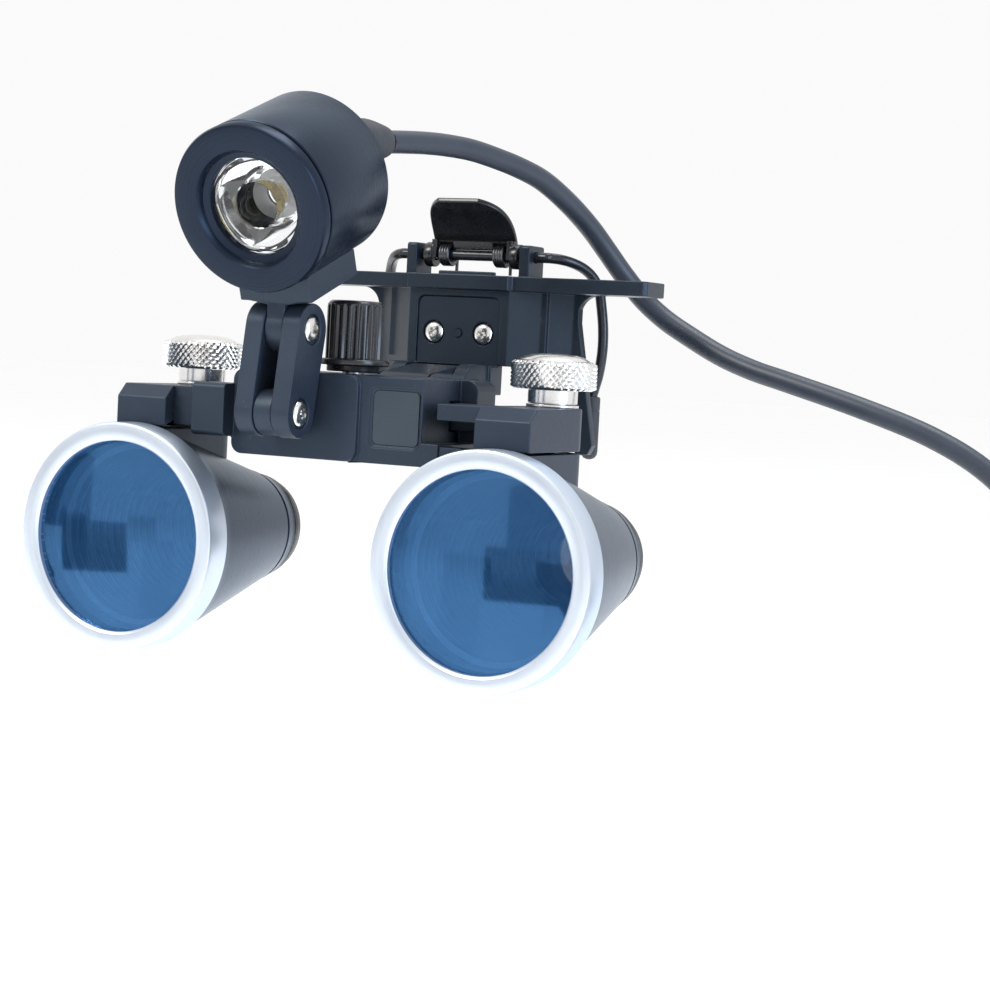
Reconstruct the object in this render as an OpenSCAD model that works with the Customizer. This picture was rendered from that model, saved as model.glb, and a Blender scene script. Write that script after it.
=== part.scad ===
/* [Barrels] */
// Distance between the axes of the two barrels
barrel_spacing = 56.9; // [56:0.1:58]
// Outer radius of the silver objective ring
ring_r = 16; // [15.8:0.1:16]
// Radius of the clear opening in the objective ring
aperture_r = 13.4; // [12.5:0.1:13.4]
// Length of the objective ring along the barrel
ring_depth = 4.3; // [4.3:0.1:4.4]
// Distance from the ring's face to the back of the eyepiece ring
barrel_length = 38.3; // [37.8:0.1:38.5]
// Outer radius of the cone where it meets the eyepiece ring
cone_rear_r = 8; // [7.8:0.1:8.2]

/* [Slides] */
// Half width of the foot and the carrier block on each barrel
carrier_half = 4.1; // [3.9:0.1:4.2]
// Distance from the ring's face back to the thumb screw's axis
screw_back = 20.3; // [20:0.1:20.6]
// Diameter of the thumb screw's knurled head
thumb_d = 11.8; // [11:0.1:12]
// Height of the thumb screw's knurled band
thumb_h = 3.9; // [3.6:0.1:4.2]
// Diameter of the ribbed knob that sets the eye spacing
pd_knob_d = 7.9; // [7.6:0.1:8]
// Height of the ribbed part of that knob
pd_knob_h = 8.2; // [7.8:0.1:8.2]

/* [Clip] */
// Distance from the ring's face back to the gap that holds the spectacles
clip_back = 54.5; // [54.5:0.5:54.5]
// Height of the middle of that gap over the barrels' axes
clip_up = 28; // [28:0.5:28]
// Half length of the bar that rests on the spectacles
bar_half = 30.5; // [29.5:0.1:30.5]
// Diameter of the clamp's spring wire
wire_d = 1.6; // [1.5:0.1:1.6]

/* [Headlight] */
// Outer radius of the lamp's housing
lamp_r = 11.6; // [11.4:0.1:11.7]
// Length of the lamp's housing
lamp_length = 18.7; // [18.6:0.1:18.8]
// Angle by which the lamp looks down at rest
lamp_pitch = 21; // [21:0.5:21]
// Distance of the lamp's axis from the middle plane, towards the left barrel
lamp_left = 5.5; // [5.4:0.1:5.6]

/* [Cord] */
// Outer diameter of the lamp's cord
cord_d = 3.2; // [3:0.1:3.2]

/* [Hidden] */
$fn = 64;
fit = 0.05;             // radial clearance of a pin or shaft that turns in its hole

side_x = barrel_spacing / 2;
cone_front_y = ring_depth + 0.3;
cone_rear_y = barrel_length - 2.8;
cone_front_r = ring_r - 0.4;
spigot_r = 14.4;        // the tube's thread, inside the ring
wall = 1.2;

foot_top = 15.3;
block_bottom = 15.6;
block_top = 21.4;
block_front = 5.1;
block_bevel = 1.8;
shaft_r = 1.5;          // shaft of the thumb screws and of the knob

tooth_count = 12;
gear_module = 0.5;
pitch_r = tooth_count * gear_module / 2;
tooth_pitch = PI * gear_module;
backlash = 0.16;
addendum = 0.4;
dedendum = 0.6;
pressure = 20;
pinion_y = 15;
rack_low = 17.4;
rack_high = 21.2;
arm_start = 16.4;       // inner end and underside of the right rack's arm
arm_low = 19;

house_left = -15.5;
house_right = 17;
house_low = 12.5;
house_high = 24.4;
house_front = 8.6;
window_front = 9.3;     // the right part of the front stands further back
house_back = 26;

tilt_axis = [31.5, 21.5];   // y and z of the declination hinge
flip_axis = [40, 22.5];     // y and z of the flip-up hinge
clamp_axis = [50.5, 43];    // y and z of the clamp's axle
arm_axis = [3.6, 18.75];    // y and z of the lamp arm's lower pivot
lamp_axis = [5.7, 30.2];   // y and z of the lamp arm's upper pivot

lug_half = 1.4;             // half width of the lugs between the arm's cheeks
cheek_in = 1.5;
cheek_out = 4.3;
lamp_face = [-lamp_left, -5.4, 45.45];

// The lamp cord's route, from the gland to the hank
cord_route = [
    [3.2, 16, 56.7], [3.9, 19, 57], [5.2, 23, 57.3], [6.6, 27, 57.4], [8.3, 31.5, 57.2],
    [10, 36, 56.5], [11.8, 40.5, 55.5], [13.6, 45, 54], [15.6, 49.8, 51.2], [17.4, 54, 48],
    [19, 57, 44.8], [21, 59.4, 41.3], [23.8, 60.8, 37.8], [27.2, 61.2, 35], [31, 61, 32.8],
    [37.2, 60, 29.8], [43, 59, 27.8], [49, 58, 26.3], [60.3, 57, 23.3], [70.9, 57, 19.8],
    [79, 57, 15.6], [85.2, 57, 10], [89.2, 57, 3], [91.2, 57, -5.5], [91.5, 57, -14]
];
// The cord's end, from the hank to the plug
tail_route = [
    [94.7, 55.8, -27], [94.8, 55.6, -30], [95.7, 55, -34.5], [97.5, 54, -38.5], [99.6, 53, -41.5],
    [101.7, 52, -44.5], [103.4, 51.1, -48], [104.2, 50.7, -51], [104.4, 50.6, -54]
];
// Hank: long turns whose two straight runs hang side by side
hank_middle = [104.4, 61.9];    // x and y of its middle
hank_run_top = -20;             // top of the straight runs
hank_run = 50;                  // their length
hank_turn_r = 12.9;             // radius of the outer turns' centreline
hank_deep = 13.4;
tie_z = -24;
plug_top = [104.4, 50.6, -53.5];

// Positions below are measured from the point midway between the two ring faces,
// with +Y towards the wearer. placed() moves them to the spectacle gap's frame.
module placed() {
    translate([0, -clip_back, -clip_up]) children();
}

// Shared shapes

module along_y(y = 0) {
    translate([0, y, 0]) rotate([-90, 0, 0]) children();
}

module along_y_at(x, y, z) {
    translate([x, y, z]) rotate([-90, 0, 0]) children();
}

module along_x(x, axis) {
    translate([x, axis[0], axis[1]]) rotate([0, 90, 0]) children();
}

// A profile of [radius, distance back] points turned about a barrel's axis
module turned(points) {
    rotate([-90, 0, 0]) rotate_extrude($fn = 96) polygon(points);
}

// A Y-Z outline pushed along X, from x to x + width
module side_outline(x, width) {
    translate([x, 0, 0]) rotate([90, 0, 90]) linear_extrude(width) children();
}

// An X-Z outline pushed back along Y, from y to y + depth
module front_outline(y, depth) {
    translate([0, y + depth, 0]) rotate([90, 0, 0]) linear_extrude(depth) children();
}

// A flat rectangle with round corners, from its low corner to its high corner
module rounded(low, high, r) {
    translate([low[0] + r, low[1]]) square([high[0] - low[0] - 2 * r, high[1] - low[1]]);
    translate([low[0], low[1] + r]) square([high[0] - low[0], high[1] - low[1] - 2 * r]);
    for (x = [low[0] + r, high[0] - r], y = [low[1] + r, high[1] - r])
        translate([x, y]) circle(r, $fn = 32);
}

module block(low, high) {
    translate(low) cube(high - low);
}

// A flat bar with round ends between two points
module strap(a, b, ra, rb) {
    reach = norm(b - a);
    turn = atan2(b[1] - a[1], b[0] - a[0]);
    lean = asin((ra - rb) / reach);
    translate(a) circle(ra);
    translate(b) circle(rb);
    translate(a) rotate(turn) polygon([
        ra * [sin(lean), cos(lean)],
        [reach, 0] + rb * [sin(lean), cos(lean)],
        [reach, 0] + rb * [sin(lean), -cos(lean)],
        ra * [sin(lean), -cos(lean)]
    ]);
}

// A tube swept along a list of points
function unit(v) = v / norm(v);
function heading(p, i) = unit(p[min(i + 1, len(p) - 1)] - p[max(i - 1, 0)]);
function side_of(d) = unit(cross(abs(d[2]) > 0.9 ? [1, 0, 0] : [0, 0, 1], d));
function carried(p, i) =
    i == 0 ? side_of(heading(p, 0))
    : let (d = heading(p, i), s = carried(p, i - 1)) unit(s - (s * d) * d);
function ring_points(p, radii, sides) = [
    for (i = [0 : len(p) - 1])
        let (d = heading(p, i), s = carried(p, i), t = cross(d, s))
            for (k = [0 : sides - 1])
                p[i] + radii[i] * (cos(360 * k / sides) * s + sin(360 * k / sides) * t)
];
function even(p, r) = [for (q = p) r];
module swept(p, radii, sides) {
    last = (len(p) - 1) * sides;
    polyhedron(ring_points(p, radii, sides), concat(
        [[for (k = [0 : sides - 1]) k]],
        [for (i = [0 : len(p) - 2], k = [0 : sides - 1])
            let (a = i * sides + k, b = i * sides + (k + 1) % sides)
                [a, a + sides, b + sides, b]],
        [[for (k = [sides - 1 : -1 : 0]) last + k]]
    ));
}

// A cross-head machine screw whose shaft runs along +Z from the head's underside
module cross_screw(head_r, head_h, shank_r, shank_l) {
    difference() {
        union() {
            translate([0, 0, -head_h]) cylinder(h = head_h, r = head_r);
            cylinder(h = shank_l, r = shank_r);
        }
        for (a = [0, 90])
            rotate(a) translate([-head_r * 0.6, -head_r * 0.14, -head_h - 1])
                cube([head_r * 1.2, head_r * 0.28, 1 + head_h * 0.6]);
    }
}

// Clip

clip_plan = [
    [8.4, 46], [16.4, 52], [21.2, 52], [21.2, 53.6], [15.8, 53.6], [7.6, 48.6],
    [-7.6, 48.6], [-15.8, 53.6], [-21.2, 53.6], [-21.2, 52], [-16.4, 52], [-8.4, 46]
];
clip_front = [
    [17.3, 38], [17.3, 33.5], [20.6, 15.2], [19.9, 13.8], [18.2, 13.6], [17.2, 14.6],
    [14.4, 24], [8.9, 26.4], [-8.9, 26.4], [-14.4, 24], [-17.2, 14.6], [-18.2, 13.6],
    [-19.9, 13.8], [-20.6, 15.2], [-17.3, 33.5], [-17.3, 38]
];
bar_low = 37.7;
bar_high = 39.9;
bar_plan = [
    [bar_half, 46.6], [bar_half, 53], [bar_half - 0.5, 53.5], [0.5 - bar_half, 53.5],
    [-bar_half, 53], [-bar_half, 46.6], [0.6 - bar_half, 46], [-8.9, 46], [-8.5, 45],
    [8.5, 45], [8.9, 46], [bar_half - 0.6, 46]
];
base_half = 7;
screw_x = 4.2;
screw_z = 31.1;
screw_head_r = 1.55;
screw_pocket_r = 1.75;
screw_shank_r = 0.8;
pin_r = 0.6;
ear_x = 9.6;
ear_thick = 1.7;

// Quarter-round webs between the wings and the underside of the bar
module bar_fillets() {
    r = 3;
    wing_x = 17.2;
    for (s = [-1, 1])
        front_outline(52, 1.5) difference() {
            translate([s * wing_x - r, bar_low - r]) square([2 * r, r + 0.2]);
            translate([s * (wing_x + r), bar_low - r]) circle(r);
        }
}

module clip_frame() {
    color([0.10, 0.11, 0.13]) placed() difference() {
        union() {
            translate([0, 0, bar_low]) linear_extrude(bar_high - bar_low) polygon(bar_plan);
            intersection() {
                translate([0, 0, 10]) linear_extrude(28) polygon(clip_plan);
                front_outline(44, 12) polygon(clip_front);
            }
            bar_fillets();
            // stiffening ribs down the wings
            for (s = [-1, 1])
                block([s * 12.9 - 0.5, 49, 27.2], [s * 12.9 + 0.5, 52.4, 37.8]);
            // ears that carry the clamp's axle
            for (s = [-1, 1])
                side_outline(s * ear_x - ear_thick / 2, ear_thick)
                    rounded([48, 39], [53.2, 44.7], 0.5);
            // stop under the paddle
            block([-4.6, 47.6, 39.8], [4.6, 49, 40.5]);
        }
        // pocket for the hinge base
        front_outline(45.5, 2.4) rounded([-base_half, 24], [base_half, 36.6], 1.2);
        for (s = [-1, 1]) {
            along_y_at(s * screw_x, 45.5, screw_z) cylinder(h = 1.4, r = screw_pocket_r);
            along_y_at(s * screw_x, 45.5, screw_z) cylinder(h = 5.5, r = screw_shank_r);
        }
        along_y_at(0, 45.5, screw_z) cylinder(h = 5.5, r = pin_r);
        along_x(-12, clamp_axis) cylinder(h = 24, r = wire_d / 2 + fit);
    }
}

lug_in = 4.3;
lug_out = 6.6;
flip_r = 4;

module hinge_base() {
    color([0.12, 0.13, 0.16]) placed() difference() {
        union() {
            front_outline(46.3, 1.6) rounded([-base_half, 24], [base_half, 36.6], 1.2);
            side_outline(-lug_out, 2 * lug_out) union() {
                strap([40, 22.5], [45.6, 24.1], flip_r, 2.2);
            }
            block([-base_half, 44, 22], [base_half, 47.9, 26.3]);
        }
        // room for the link's knuckle between the lugs
        along_x(-lug_in, flip_axis) cylinder(h = 2 * lug_in, r = flip_r + 0.3);
        block([-lug_in, 34, 15], [lug_in, 41.5, 30]);
        along_x(-12, flip_axis) cylinder(h = 24, r = 1.2);
        for (s = [-1, 1])
            along_y_at(s * screw_x, 46.2, screw_z) cylinder(h = 0.6, r = screw_pocket_r);
        for (s = [-1, 1])
            along_y_at(s * screw_x, 46, screw_z) cylinder(h = 3, r = screw_shank_r);
        along_y_at(0, 46, screw_z) cylinder(h = 3, r = pin_r);
    }
}

module base_screws() {
    color([0.8, 0.8, 0.8]) placed()
        for (s = [-1, 1])
            along_y_at(s * screw_x, 46.8, screw_z) cross_screw(screw_head_r, 0.9, screw_shank_r, 3.1);
}

module locating_pin() {
    color([0.10, 0.11, 0.13]) placed()
        along_y_at(0, 46.1, screw_z) cylinder(h = 2.5, r = pin_r);
}

module flip_screw() {
    color([0.8, 0.8, 0.8]) placed() union() {
        translate([lug_out, flip_axis[0], flip_axis[1]]) rotate([0, -90, 0])
            cross_screw(1.8, 0.8, 1.2, 2 * lug_out);
        translate([-lug_out, flip_axis[0], flip_axis[1]]) rotate([0, 90, 0])
            translate([0, 0, -0.6]) cylinder(h = 0.6, r = 1.6);
    }
}

// Two short coils round the axle, each with a tail that presses on the bar
module torsion_springs() {
    color([0.15, 0.15, 0.16]) placed() for (s = [-1, 1]) {
        for (i = [0 : 3])
            along_x(s * 4.6 + (i - 1.5) * 0.5, clamp_axis)
                rotate_extrude($fn = 32) translate([1.5, 0]) circle(0.3, $fn = 16);
        translate([s * 4.6 + 0.75, clamp_axis[0] + 1.5, 40.1])
            cylinder(h = clamp_axis[1] - 40.1, r = 0.28, $fn = 16);
    }
}

// Clamp

wire_arm = [
    [10.6, 50.5, 43], [12.2, 50.7, 43], [13.8, 51.5, 42.9], [15.3, 52.9, 42.5], [16.6, 54.6, 41.7],
    [17.6, 56, 40.4], [18.3, 56.8, 38.6], [18.7, 57, 36.4], [19.2, 57, 33], [19.3, 57, 29.5],
    [18.9, 57, 26], [18.3, 57, 23.6], [18, 57, 22], [18, 57, 18], [18, 57, 14.2]
];

module clamp_wire() {
    color([0.09, 0.09, 0.10]) placed() {
        along_x(-10.7, clamp_axis) cylinder(h = 21.4, r = wire_d / 2);
        swept(wire_arm, even(wire_arm, wire_d / 2), 12);
        mirror([1, 0, 0]) swept(wire_arm, even(wire_arm, wire_d / 2), 12);
    }
}

module rubber_tips() {
    color([0.07, 0.08, 0.09]) placed() for (s = [-1, 1])
        translate([s * 18, 57, 0]) difference() {
            union() {
                translate([0, 0, 14.2]) cylinder(h = 8.3, r = 1.3);
                translate([0, 0, 14.2]) sphere(1.3);
            }
            translate([0, 0, 14.2]) cylinder(h = 9, r = wire_d / 2);
        }
}

paddle_half = 7;
// Y-Z outline of the curved plate, from its base at the axle to its tip
paddle_side = [
    [51.2, 44.2], [50.7, 46], [49.6, 47.8], [48, 49.4], [46, 50.7], [43.9, 51.4],
    [43.6, 50.5], [45.4, 49.8], [47.2, 48.6], [48.6, 47.1], [49.5, 45.5], [49.9, 44]
];
module clamp_paddle() {
    color([0.05, 0.05, 0.055]) placed() difference() {
        union() {
            intersection() {
                side_outline(-paddle_half, 2 * paddle_half) polygon(paddle_side);
                // plan of the plate: round at its tip
                translate([0, 0, 40]) linear_extrude(14) {
                    translate([0, 50.5]) circle(paddle_half);
                    translate([-paddle_half, 50.5]) square([2 * paddle_half, 3]);
                }
            }
            // two sleeves that grip the axle outside the springs, and the plate's flanges
            for (s = [-1, 1]) {
                along_x(s * 7.3 - 0.7, clamp_axis) cylinder(h = 1.4, r = 1.9);
                side_outline(s * 6.4 - 0.45, 0.9) polygon([
                    [49, 42.4], [52, 42.4], [51.4, 45], [50.2, 47], [48.9, 47.6], [49.2, 45]
                ]);
            }
        }
        along_x(-9, clamp_axis) cylinder(h = 18, r = wire_d / 2);
        for (s = [-1, 1])
            along_x(s * 4.55 - 1.14, clamp_axis) cylinder(h = 2.28, r = 2.1);
    }
}

// Hinge link

link_half = 4;
tilt_r = 3.5;

module hinge_link() {
    color([0.12, 0.13, 0.16]) placed() difference() {
        side_outline(-link_half, 2 * link_half) union() {
            strap(tilt_axis, flip_axis, tilt_r, 3.7);
        }
        along_x(-6, flip_axis) cylinder(h = 12, r = 1.2 + fit);
        along_x(-6, tilt_axis) cylinder(h = 12, r = 1.2);
    }
}

module tilt_screw() {
    color([0.8, 0.8, 0.8]) placed()
        translate([8.1, tilt_axis[0], tilt_axis[1]]) rotate([0, -90, 0])
            cross_screw(1.6, 0.7, 1.2, 15.6);
}

// Centre housing

cover_low = [6.6, 15.1];
cover_high = [13.7, 22.5];
lamp_lug_r = 3.2;

module housing_body() {
    // proud left part
    front_outline(house_front, 6) rounded([house_left, house_low], [4.6, house_high], 1.6);
    // main block
    front_outline(window_front, house_back - window_front)
        rounded([house_left, house_low], [house_right, house_high], 1.6);
    // lug for the lamp's arm
    translate([-lamp_left, 0, 0]) side_outline(-lug_half, 2 * lug_half) {
        translate(arm_axis) circle(lamp_lug_r);
        translate([arm_axis[0], arm_axis[1] - lamp_lug_r]) square([5.5, 2 * lamp_lug_r]);
    }
    // lugs for the hinge link
    for (s = [-1, 1])
        side_outline(s * 6 - 1.7, 3.4) {
            translate(tilt_axis) circle(tilt_r);
            translate([house_back - 2, tilt_axis[1] - tilt_r])
                square([tilt_axis[0] - house_back + 2, 2 * tilt_r - 0.6]);
        }
    // ledge under the right arm
    block([16, 9.6, 14], [20.4, 12.6, 15.4]);
    // collar round the left arm
    side_outline(-20.6, 5.4) rounded([6, 14.8], [13.6, 22.2], 0.8);
}

module centre_housing() {
    color([0.13, 0.14, 0.17]) placed() difference() {
        housing_body();
        // passage of the left arm and its rack
        block([-21, 7.2, 15.8], [-16.8, 12.4, 21.7]);
        block([-17, 10.1, rack_low - 0.2], [13.5, 12.75, rack_high + 0.2]);
        // passage of the right rack
        block([-13, 17.2, rack_low - 0.2], [house_right + 1, 20.2, rack_high + 0.2]);
        // open end on the right
        block([14.4, window_front - 1, 15.7], [house_right + 1, 20.2, house_high + 1]);
        // pocket and hole for the pinion
        translate([0, pinion_y, rack_low - 0.2]) cylinder(h = 4.2, r = 4);
        translate([0, pinion_y, rack_high - 1]) cylinder(h = 6, r = shaft_r + fit);
        translate([0, pinion_y, house_low + 1.5]) cylinder(h = 6, r = shaft_r + fit);
        // window that the cover closes
        front_outline(window_front - 1, 1.3) rounded([6.2, 14.7], [14, 22.9], 1);
        front_outline(window_front, 2) rounded(cover_low, cover_high, 0.8);
        along_x(-lamp_left - 3, arm_axis) cylinder(h = 6, r = 1 + fit);
        along_x(-9, tilt_axis) cylinder(h = 18, r = 1.2 + fit);
        // room for the link between the lugs
        along_x(-lug_in, tilt_axis) cylinder(h = 2 * lug_in, r = tilt_r + 0.8);
    }
}

module rack_cover() {
    color([0.24, 0.27, 0.29]) placed()
        front_outline(window_front + 0.3, 0.45) rounded(cover_low, cover_high, 0.8);
}

// Rack and pinion

base_r = pitch_r * cos(pressure);
function involute(t) = base_r * [cos(t) + t * PI / 180 * sin(t), sin(t) - t * PI / 180 * cos(t)];
function turned_by(p, a) = [p[0] * cos(a) - p[1] * sin(a), p[0] * sin(a) + p[1] * cos(a)];
tooth_half = 90 / tooth_count - backlash / 4 / pitch_r * 180 / PI
    + (tan(pressure) * 180 / PI - pressure);
tip_turn = sqrt(pow((pitch_r + addendum) / base_r, 2) - 1) * 180 / PI;
flank = [for (i = [0 : 5]) turned_by(involute(tip_turn * i / 5), -tooth_half)];
tooth = concat(
    [[0, -0.5], [pitch_r - dedendum, flank[0][1]]], flank,
    [for (i = [5 : -1 : 0]) [flank[i][0], -flank[i][1]]],
    [[pitch_r - dedendum, -flank[0][1]], [0, 0.5]]
);

shaft_low = house_low + 1.8;
knob_low = house_high + 0.3;
knob_bore = 6.2;        // depth of the shaft's hole in the knob
module pinion() {
    color([0.7, 0.7, 0.68]) placed() translate([0, pinion_y, 0]) {
        translate([0, 0, rack_low]) linear_extrude(rack_high - rack_low) {
            circle(pitch_r - dedendum);
            for (i = [0 : tooth_count - 1]) rotate(i * 360 / tooth_count) polygon(tooth);
        }
        translate([0, 0, shaft_low]) cylinder(h = knob_low + knob_bore - shaft_low, r = shaft_r);
    }
}

module spacing_knob() {
    rib_count = 28;
    color([0.05, 0.05, 0.055]) placed() translate([0, pinion_y, 0]) difference() {
        union() {
            translate([0, 0, knob_low]) cylinder(h = 1.2, r = 3.7);
            translate([0, 0, knob_low + 0.9]) cylinder(h = 0.9, r = 5);
            translate([0, 0, knob_low + 1.7]) linear_extrude(pd_knob_h) {
                circle(pd_knob_d / 2 - 0.25);
                for (i = [0 : rib_count - 1])
                    rotate(i * 360 / rib_count) translate([pd_knob_d / 2 - 0.3, 0])
                        circle(0.3, $fn = 16);
            }
        }
        translate([0, 0, knob_low - 1]) cylinder(h = knob_bore + 1, r = shaft_r);
    }
}

// One row of teeth that points along +Y, with a gap at x = 0
module rack_teeth(first, last) {
    half_tip = tooth_pitch / 4 - backlash / 4 - addendum * tan(pressure);
    half_root = tooth_pitch / 4 - backlash / 4 + dedendum * tan(pressure);
    for (i = [first : last])
        translate([(i + 0.5) * tooth_pitch, 0])
            polygon([
                [-half_root, -dedendum - 0.1], [-half_root, -dedendum], [-half_tip, addendum],
                [half_tip, addendum], [half_root, -dedendum], [half_root, -dedendum - 0.1]
            ]);
}

module left_rack() {
    color([0.13, 0.14, 0.17]) placed() {
        translate([0, pinion_y - pitch_r, rack_low]) linear_extrude(rack_high - rack_low) {
            rack_teeth(-7, 5);
            translate([-24.3, -1.6]) square([33.8, 1.6 - dedendum]);
        }
        block([-25.3, 7.4, 15.9], [-19.2, 12, 21.4]);
    }
}

module right_rack() {
    color([0.13, 0.14, 0.17]) placed() {
        translate([0, pinion_y + pitch_r, rack_low]) linear_extrude(rack_high - rack_low)
            mirror([0, 1]) {
                rack_teeth(-6, 6);
                translate([-9.5, -1.9]) square([33.4, 1.9 - dedendum]);
            }
        block([arm_start, 9.6, arm_low], [25, 19.9, rack_high]);
    }
}

// Carrier block with a stadium end and a bevelled front edge
module carrier(s) {
    color([0.14, 0.15, 0.18]) placed() translate([s * side_x, 0, 0]) difference() {
        intersection() {
            translate([0, 0, block_bottom]) linear_extrude(block_top - block_bottom) {
                translate([-carrier_half, block_front])
                    square([2 * carrier_half, screw_back - block_front]);
                translate([0, screw_back]) circle(carrier_half);
            }
            side_outline(-carrier_half - 1, 2 * carrier_half + 2) polygon([
                [block_front, block_bottom - 1], [block_front, block_top - block_bevel],
                [block_front + block_bevel, block_top], [block_front + block_bevel, block_top + 1],
                [30, block_top + 1], [30, block_bottom - 1]
            ]);
        }
        translate([0, screw_back, 0]) cylinder(h = 40, r = shaft_r + fit);
        arm_socket(s);
    }
}

// Room in the carrier for the end of the rack arm
module arm_socket(s) {
    if (s < 0) {
        block([carrier_half - 1, 7.4, 15.9], [carrier_half + 1, 12, 21.4]);
    } else {
        block([-carrier_half - 1, 9.6, arm_low], [0.7 - carrier_half, 19.9, rack_high]);
    }
}

module left_carrier() {
    carrier(-1);
}

module right_carrier() {
    carrier(1);
}

// Barrels

module foot(s) {
    color([0.14, 0.15, 0.18]) placed() translate([s * side_x, 0, 0]) difference() {
        translate([0, 0, 8]) linear_extrude(foot_top - 8) {
            translate([-carrier_half, block_front - 0.1])
                square([2 * carrier_half, screw_back - block_front + 0.1]);
            translate([0, screw_back]) circle(carrier_half);
        }
        turned([
            [0, 0], [cone_front_r, 0], [cone_front_r, cone_front_y],
            [cone_rear_r, cone_rear_y], [0, cone_rear_y]
        ]);
        translate([0, screw_back, 12]) cylinder(h = 10, r = shaft_r + fit);
    }
}

module ring(s) {
    color([0.85, 0.87, 0.88]) placed() translate([s * side_x, 0, 0]) turned([
        [aperture_r, 0.3], [aperture_r + 0.3, 0], [ring_r - 0.4, 0], [ring_r, 0.4],
        [ring_r, ring_depth], [spigot_r, ring_depth], [spigot_r, 1], [aperture_r, 1]
    ]);
}

module tube(s) {
    color([0.10, 0.11, 0.13]) placed() translate([s * side_x, 0, 0]) turned([
        [spigot_r, 3], [spigot_r, cone_front_y], [cone_front_r, cone_front_y],
        [cone_rear_r, cone_rear_y], [6.4, cone_rear_y], [cone_rear_r - wall, cone_rear_y - 3],
        [spigot_r - wall, cone_front_y + 1], [spigot_r - wall, 3]
    ]);
}

module objective(s) {
    // a doublet: the front bulges a little inside the ring's lip, the back more
    bulge = [for (i = [0 : 8]) let (r = aperture_r * (1 - i / 8))
        [r, 1 - 0.45 * (1 - pow(r / aperture_r, 2))]];
    hollow = [for (i = [0 : 8]) let (r = (spigot_r - wall) * i / 8)
        [r, 3 + 1.6 * (1 - pow(r / (spigot_r - wall), 2))]];
    color([0.16, 0.36, 0.68, 0.6]) placed() translate([s * side_x, 0, 0])
        turned(concat([[spigot_r, 1]], bulge, hollow, [[spigot_r, 3]]));
}

// Stepped liner whose edges stop stray light
baffle_steps = 20;
baffle_pitch = 1.25;
baffle_start = 6.2;
baffle_taper = (cone_front_r - cone_rear_r) / (cone_rear_y - cone_front_y);
function cone_r(y) = cone_front_r - (y - cone_front_y) * baffle_taper;
module baffle(s) {
    outer_gap = wall + 1;   // keeps clear of the tube's wall, which thins to the back
    color([0.10, 0.16, 0.30]) placed() translate([s * side_x, 0, 0]) turned(concat(
        [for (i = [0 : baffle_steps - 1], k = [0, 1])
            let (y = baffle_start + i * baffle_pitch)
                [cone_r(y) - outer_gap - (k == 0 ? 0.9 : 0.5), y + k * (baffle_pitch - 0.1)]],
        [[cone_r(baffle_start + baffle_steps * baffle_pitch) - outer_gap,
            baffle_start + baffle_steps * baffle_pitch],
            [cone_r(baffle_start) - outer_gap, baffle_start]]
    ));
}

module eye_lens(s) {
    color([0.5, 0.6, 0.7, 0.5]) placed() translate([s * side_x, 0, 0]) turned([
        [0, cone_rear_y + 1.2], [3, cone_rear_y + 0.9], [5.9, cone_rear_y],
        [6.3, cone_rear_y], [6.3, cone_rear_y + 1.9], [5.9, cone_rear_y + 1.9],
        [3, cone_rear_y + 1.7], [0, cone_rear_y + 1.6]
    ]);
}

module eye_ring(s) {
    color([0.06, 0.06, 0.07]) placed() translate([s * side_x, 0, 0]) turned([
        [6.3, cone_rear_y], [cone_rear_r, cone_rear_y], [cone_rear_r, cone_rear_y + 0.8],
        [7.4, cone_rear_y + 1.2], [7.3, barrel_length - 0.3], [7, barrel_length],
        [5.6, barrel_length], [5.6, cone_rear_y + 1.9], [6.3, cone_rear_y + 1.9]
    ]);
}

washer_h = 0.4;
module washer(s) {
    color([0.75, 0.75, 0.76]) placed()
        translate([s * side_x, screw_back, block_top + 0.02]) difference() {
            cylinder(h = washer_h, r = 3.6);
            translate([0, 0, -1]) cylinder(h = 3, r = shaft_r + fit);
        }
}

stud_top = block_top + 2.2;
module thumb_screw(s) {
    neck_low = block_top + washer_h + 0.1;
    head_low = block_top + 2.4;
    groove_count = 36;
    color([0.86, 0.86, 0.87]) placed() translate([s * side_x, screw_back, 0]) {
        difference() {
            translate([0, 0, neck_low]) cylinder(h = head_low - neck_low + 0.1, r = 3.4);
            translate([0, 0, neck_low - 1]) cylinder(h = stud_top - neck_low + 1, r = shaft_r);
        }
        translate([0, 0, head_low]) linear_extrude(thumb_h) difference() {
            circle(thumb_d / 2);
            for (i = [0 : groove_count - 1])
                rotate(i * 360 / groove_count) translate([thumb_d / 2 + 0.1, 0])
                    circle(0.32, $fn = 4);
        }
        translate([0, 0, head_low + thumb_h - 0.01]) rotate_extrude() polygon([
            [0, 0], [thumb_d / 2 - 0.3, 0], [thumb_d / 2 - 1.1, 0.6], [thumb_d / 2 - 2.6, 1],
            [0, 1.2]
        ]);
    }
}

// The thumb screw's threaded stud, pressed into its neck
module stud(s) {
    color([0.72, 0.72, 0.72]) placed()
        translate([s * side_x, screw_back, 12.4]) cylinder(h = stud_top - 12.4, r = shaft_r);
}

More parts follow.
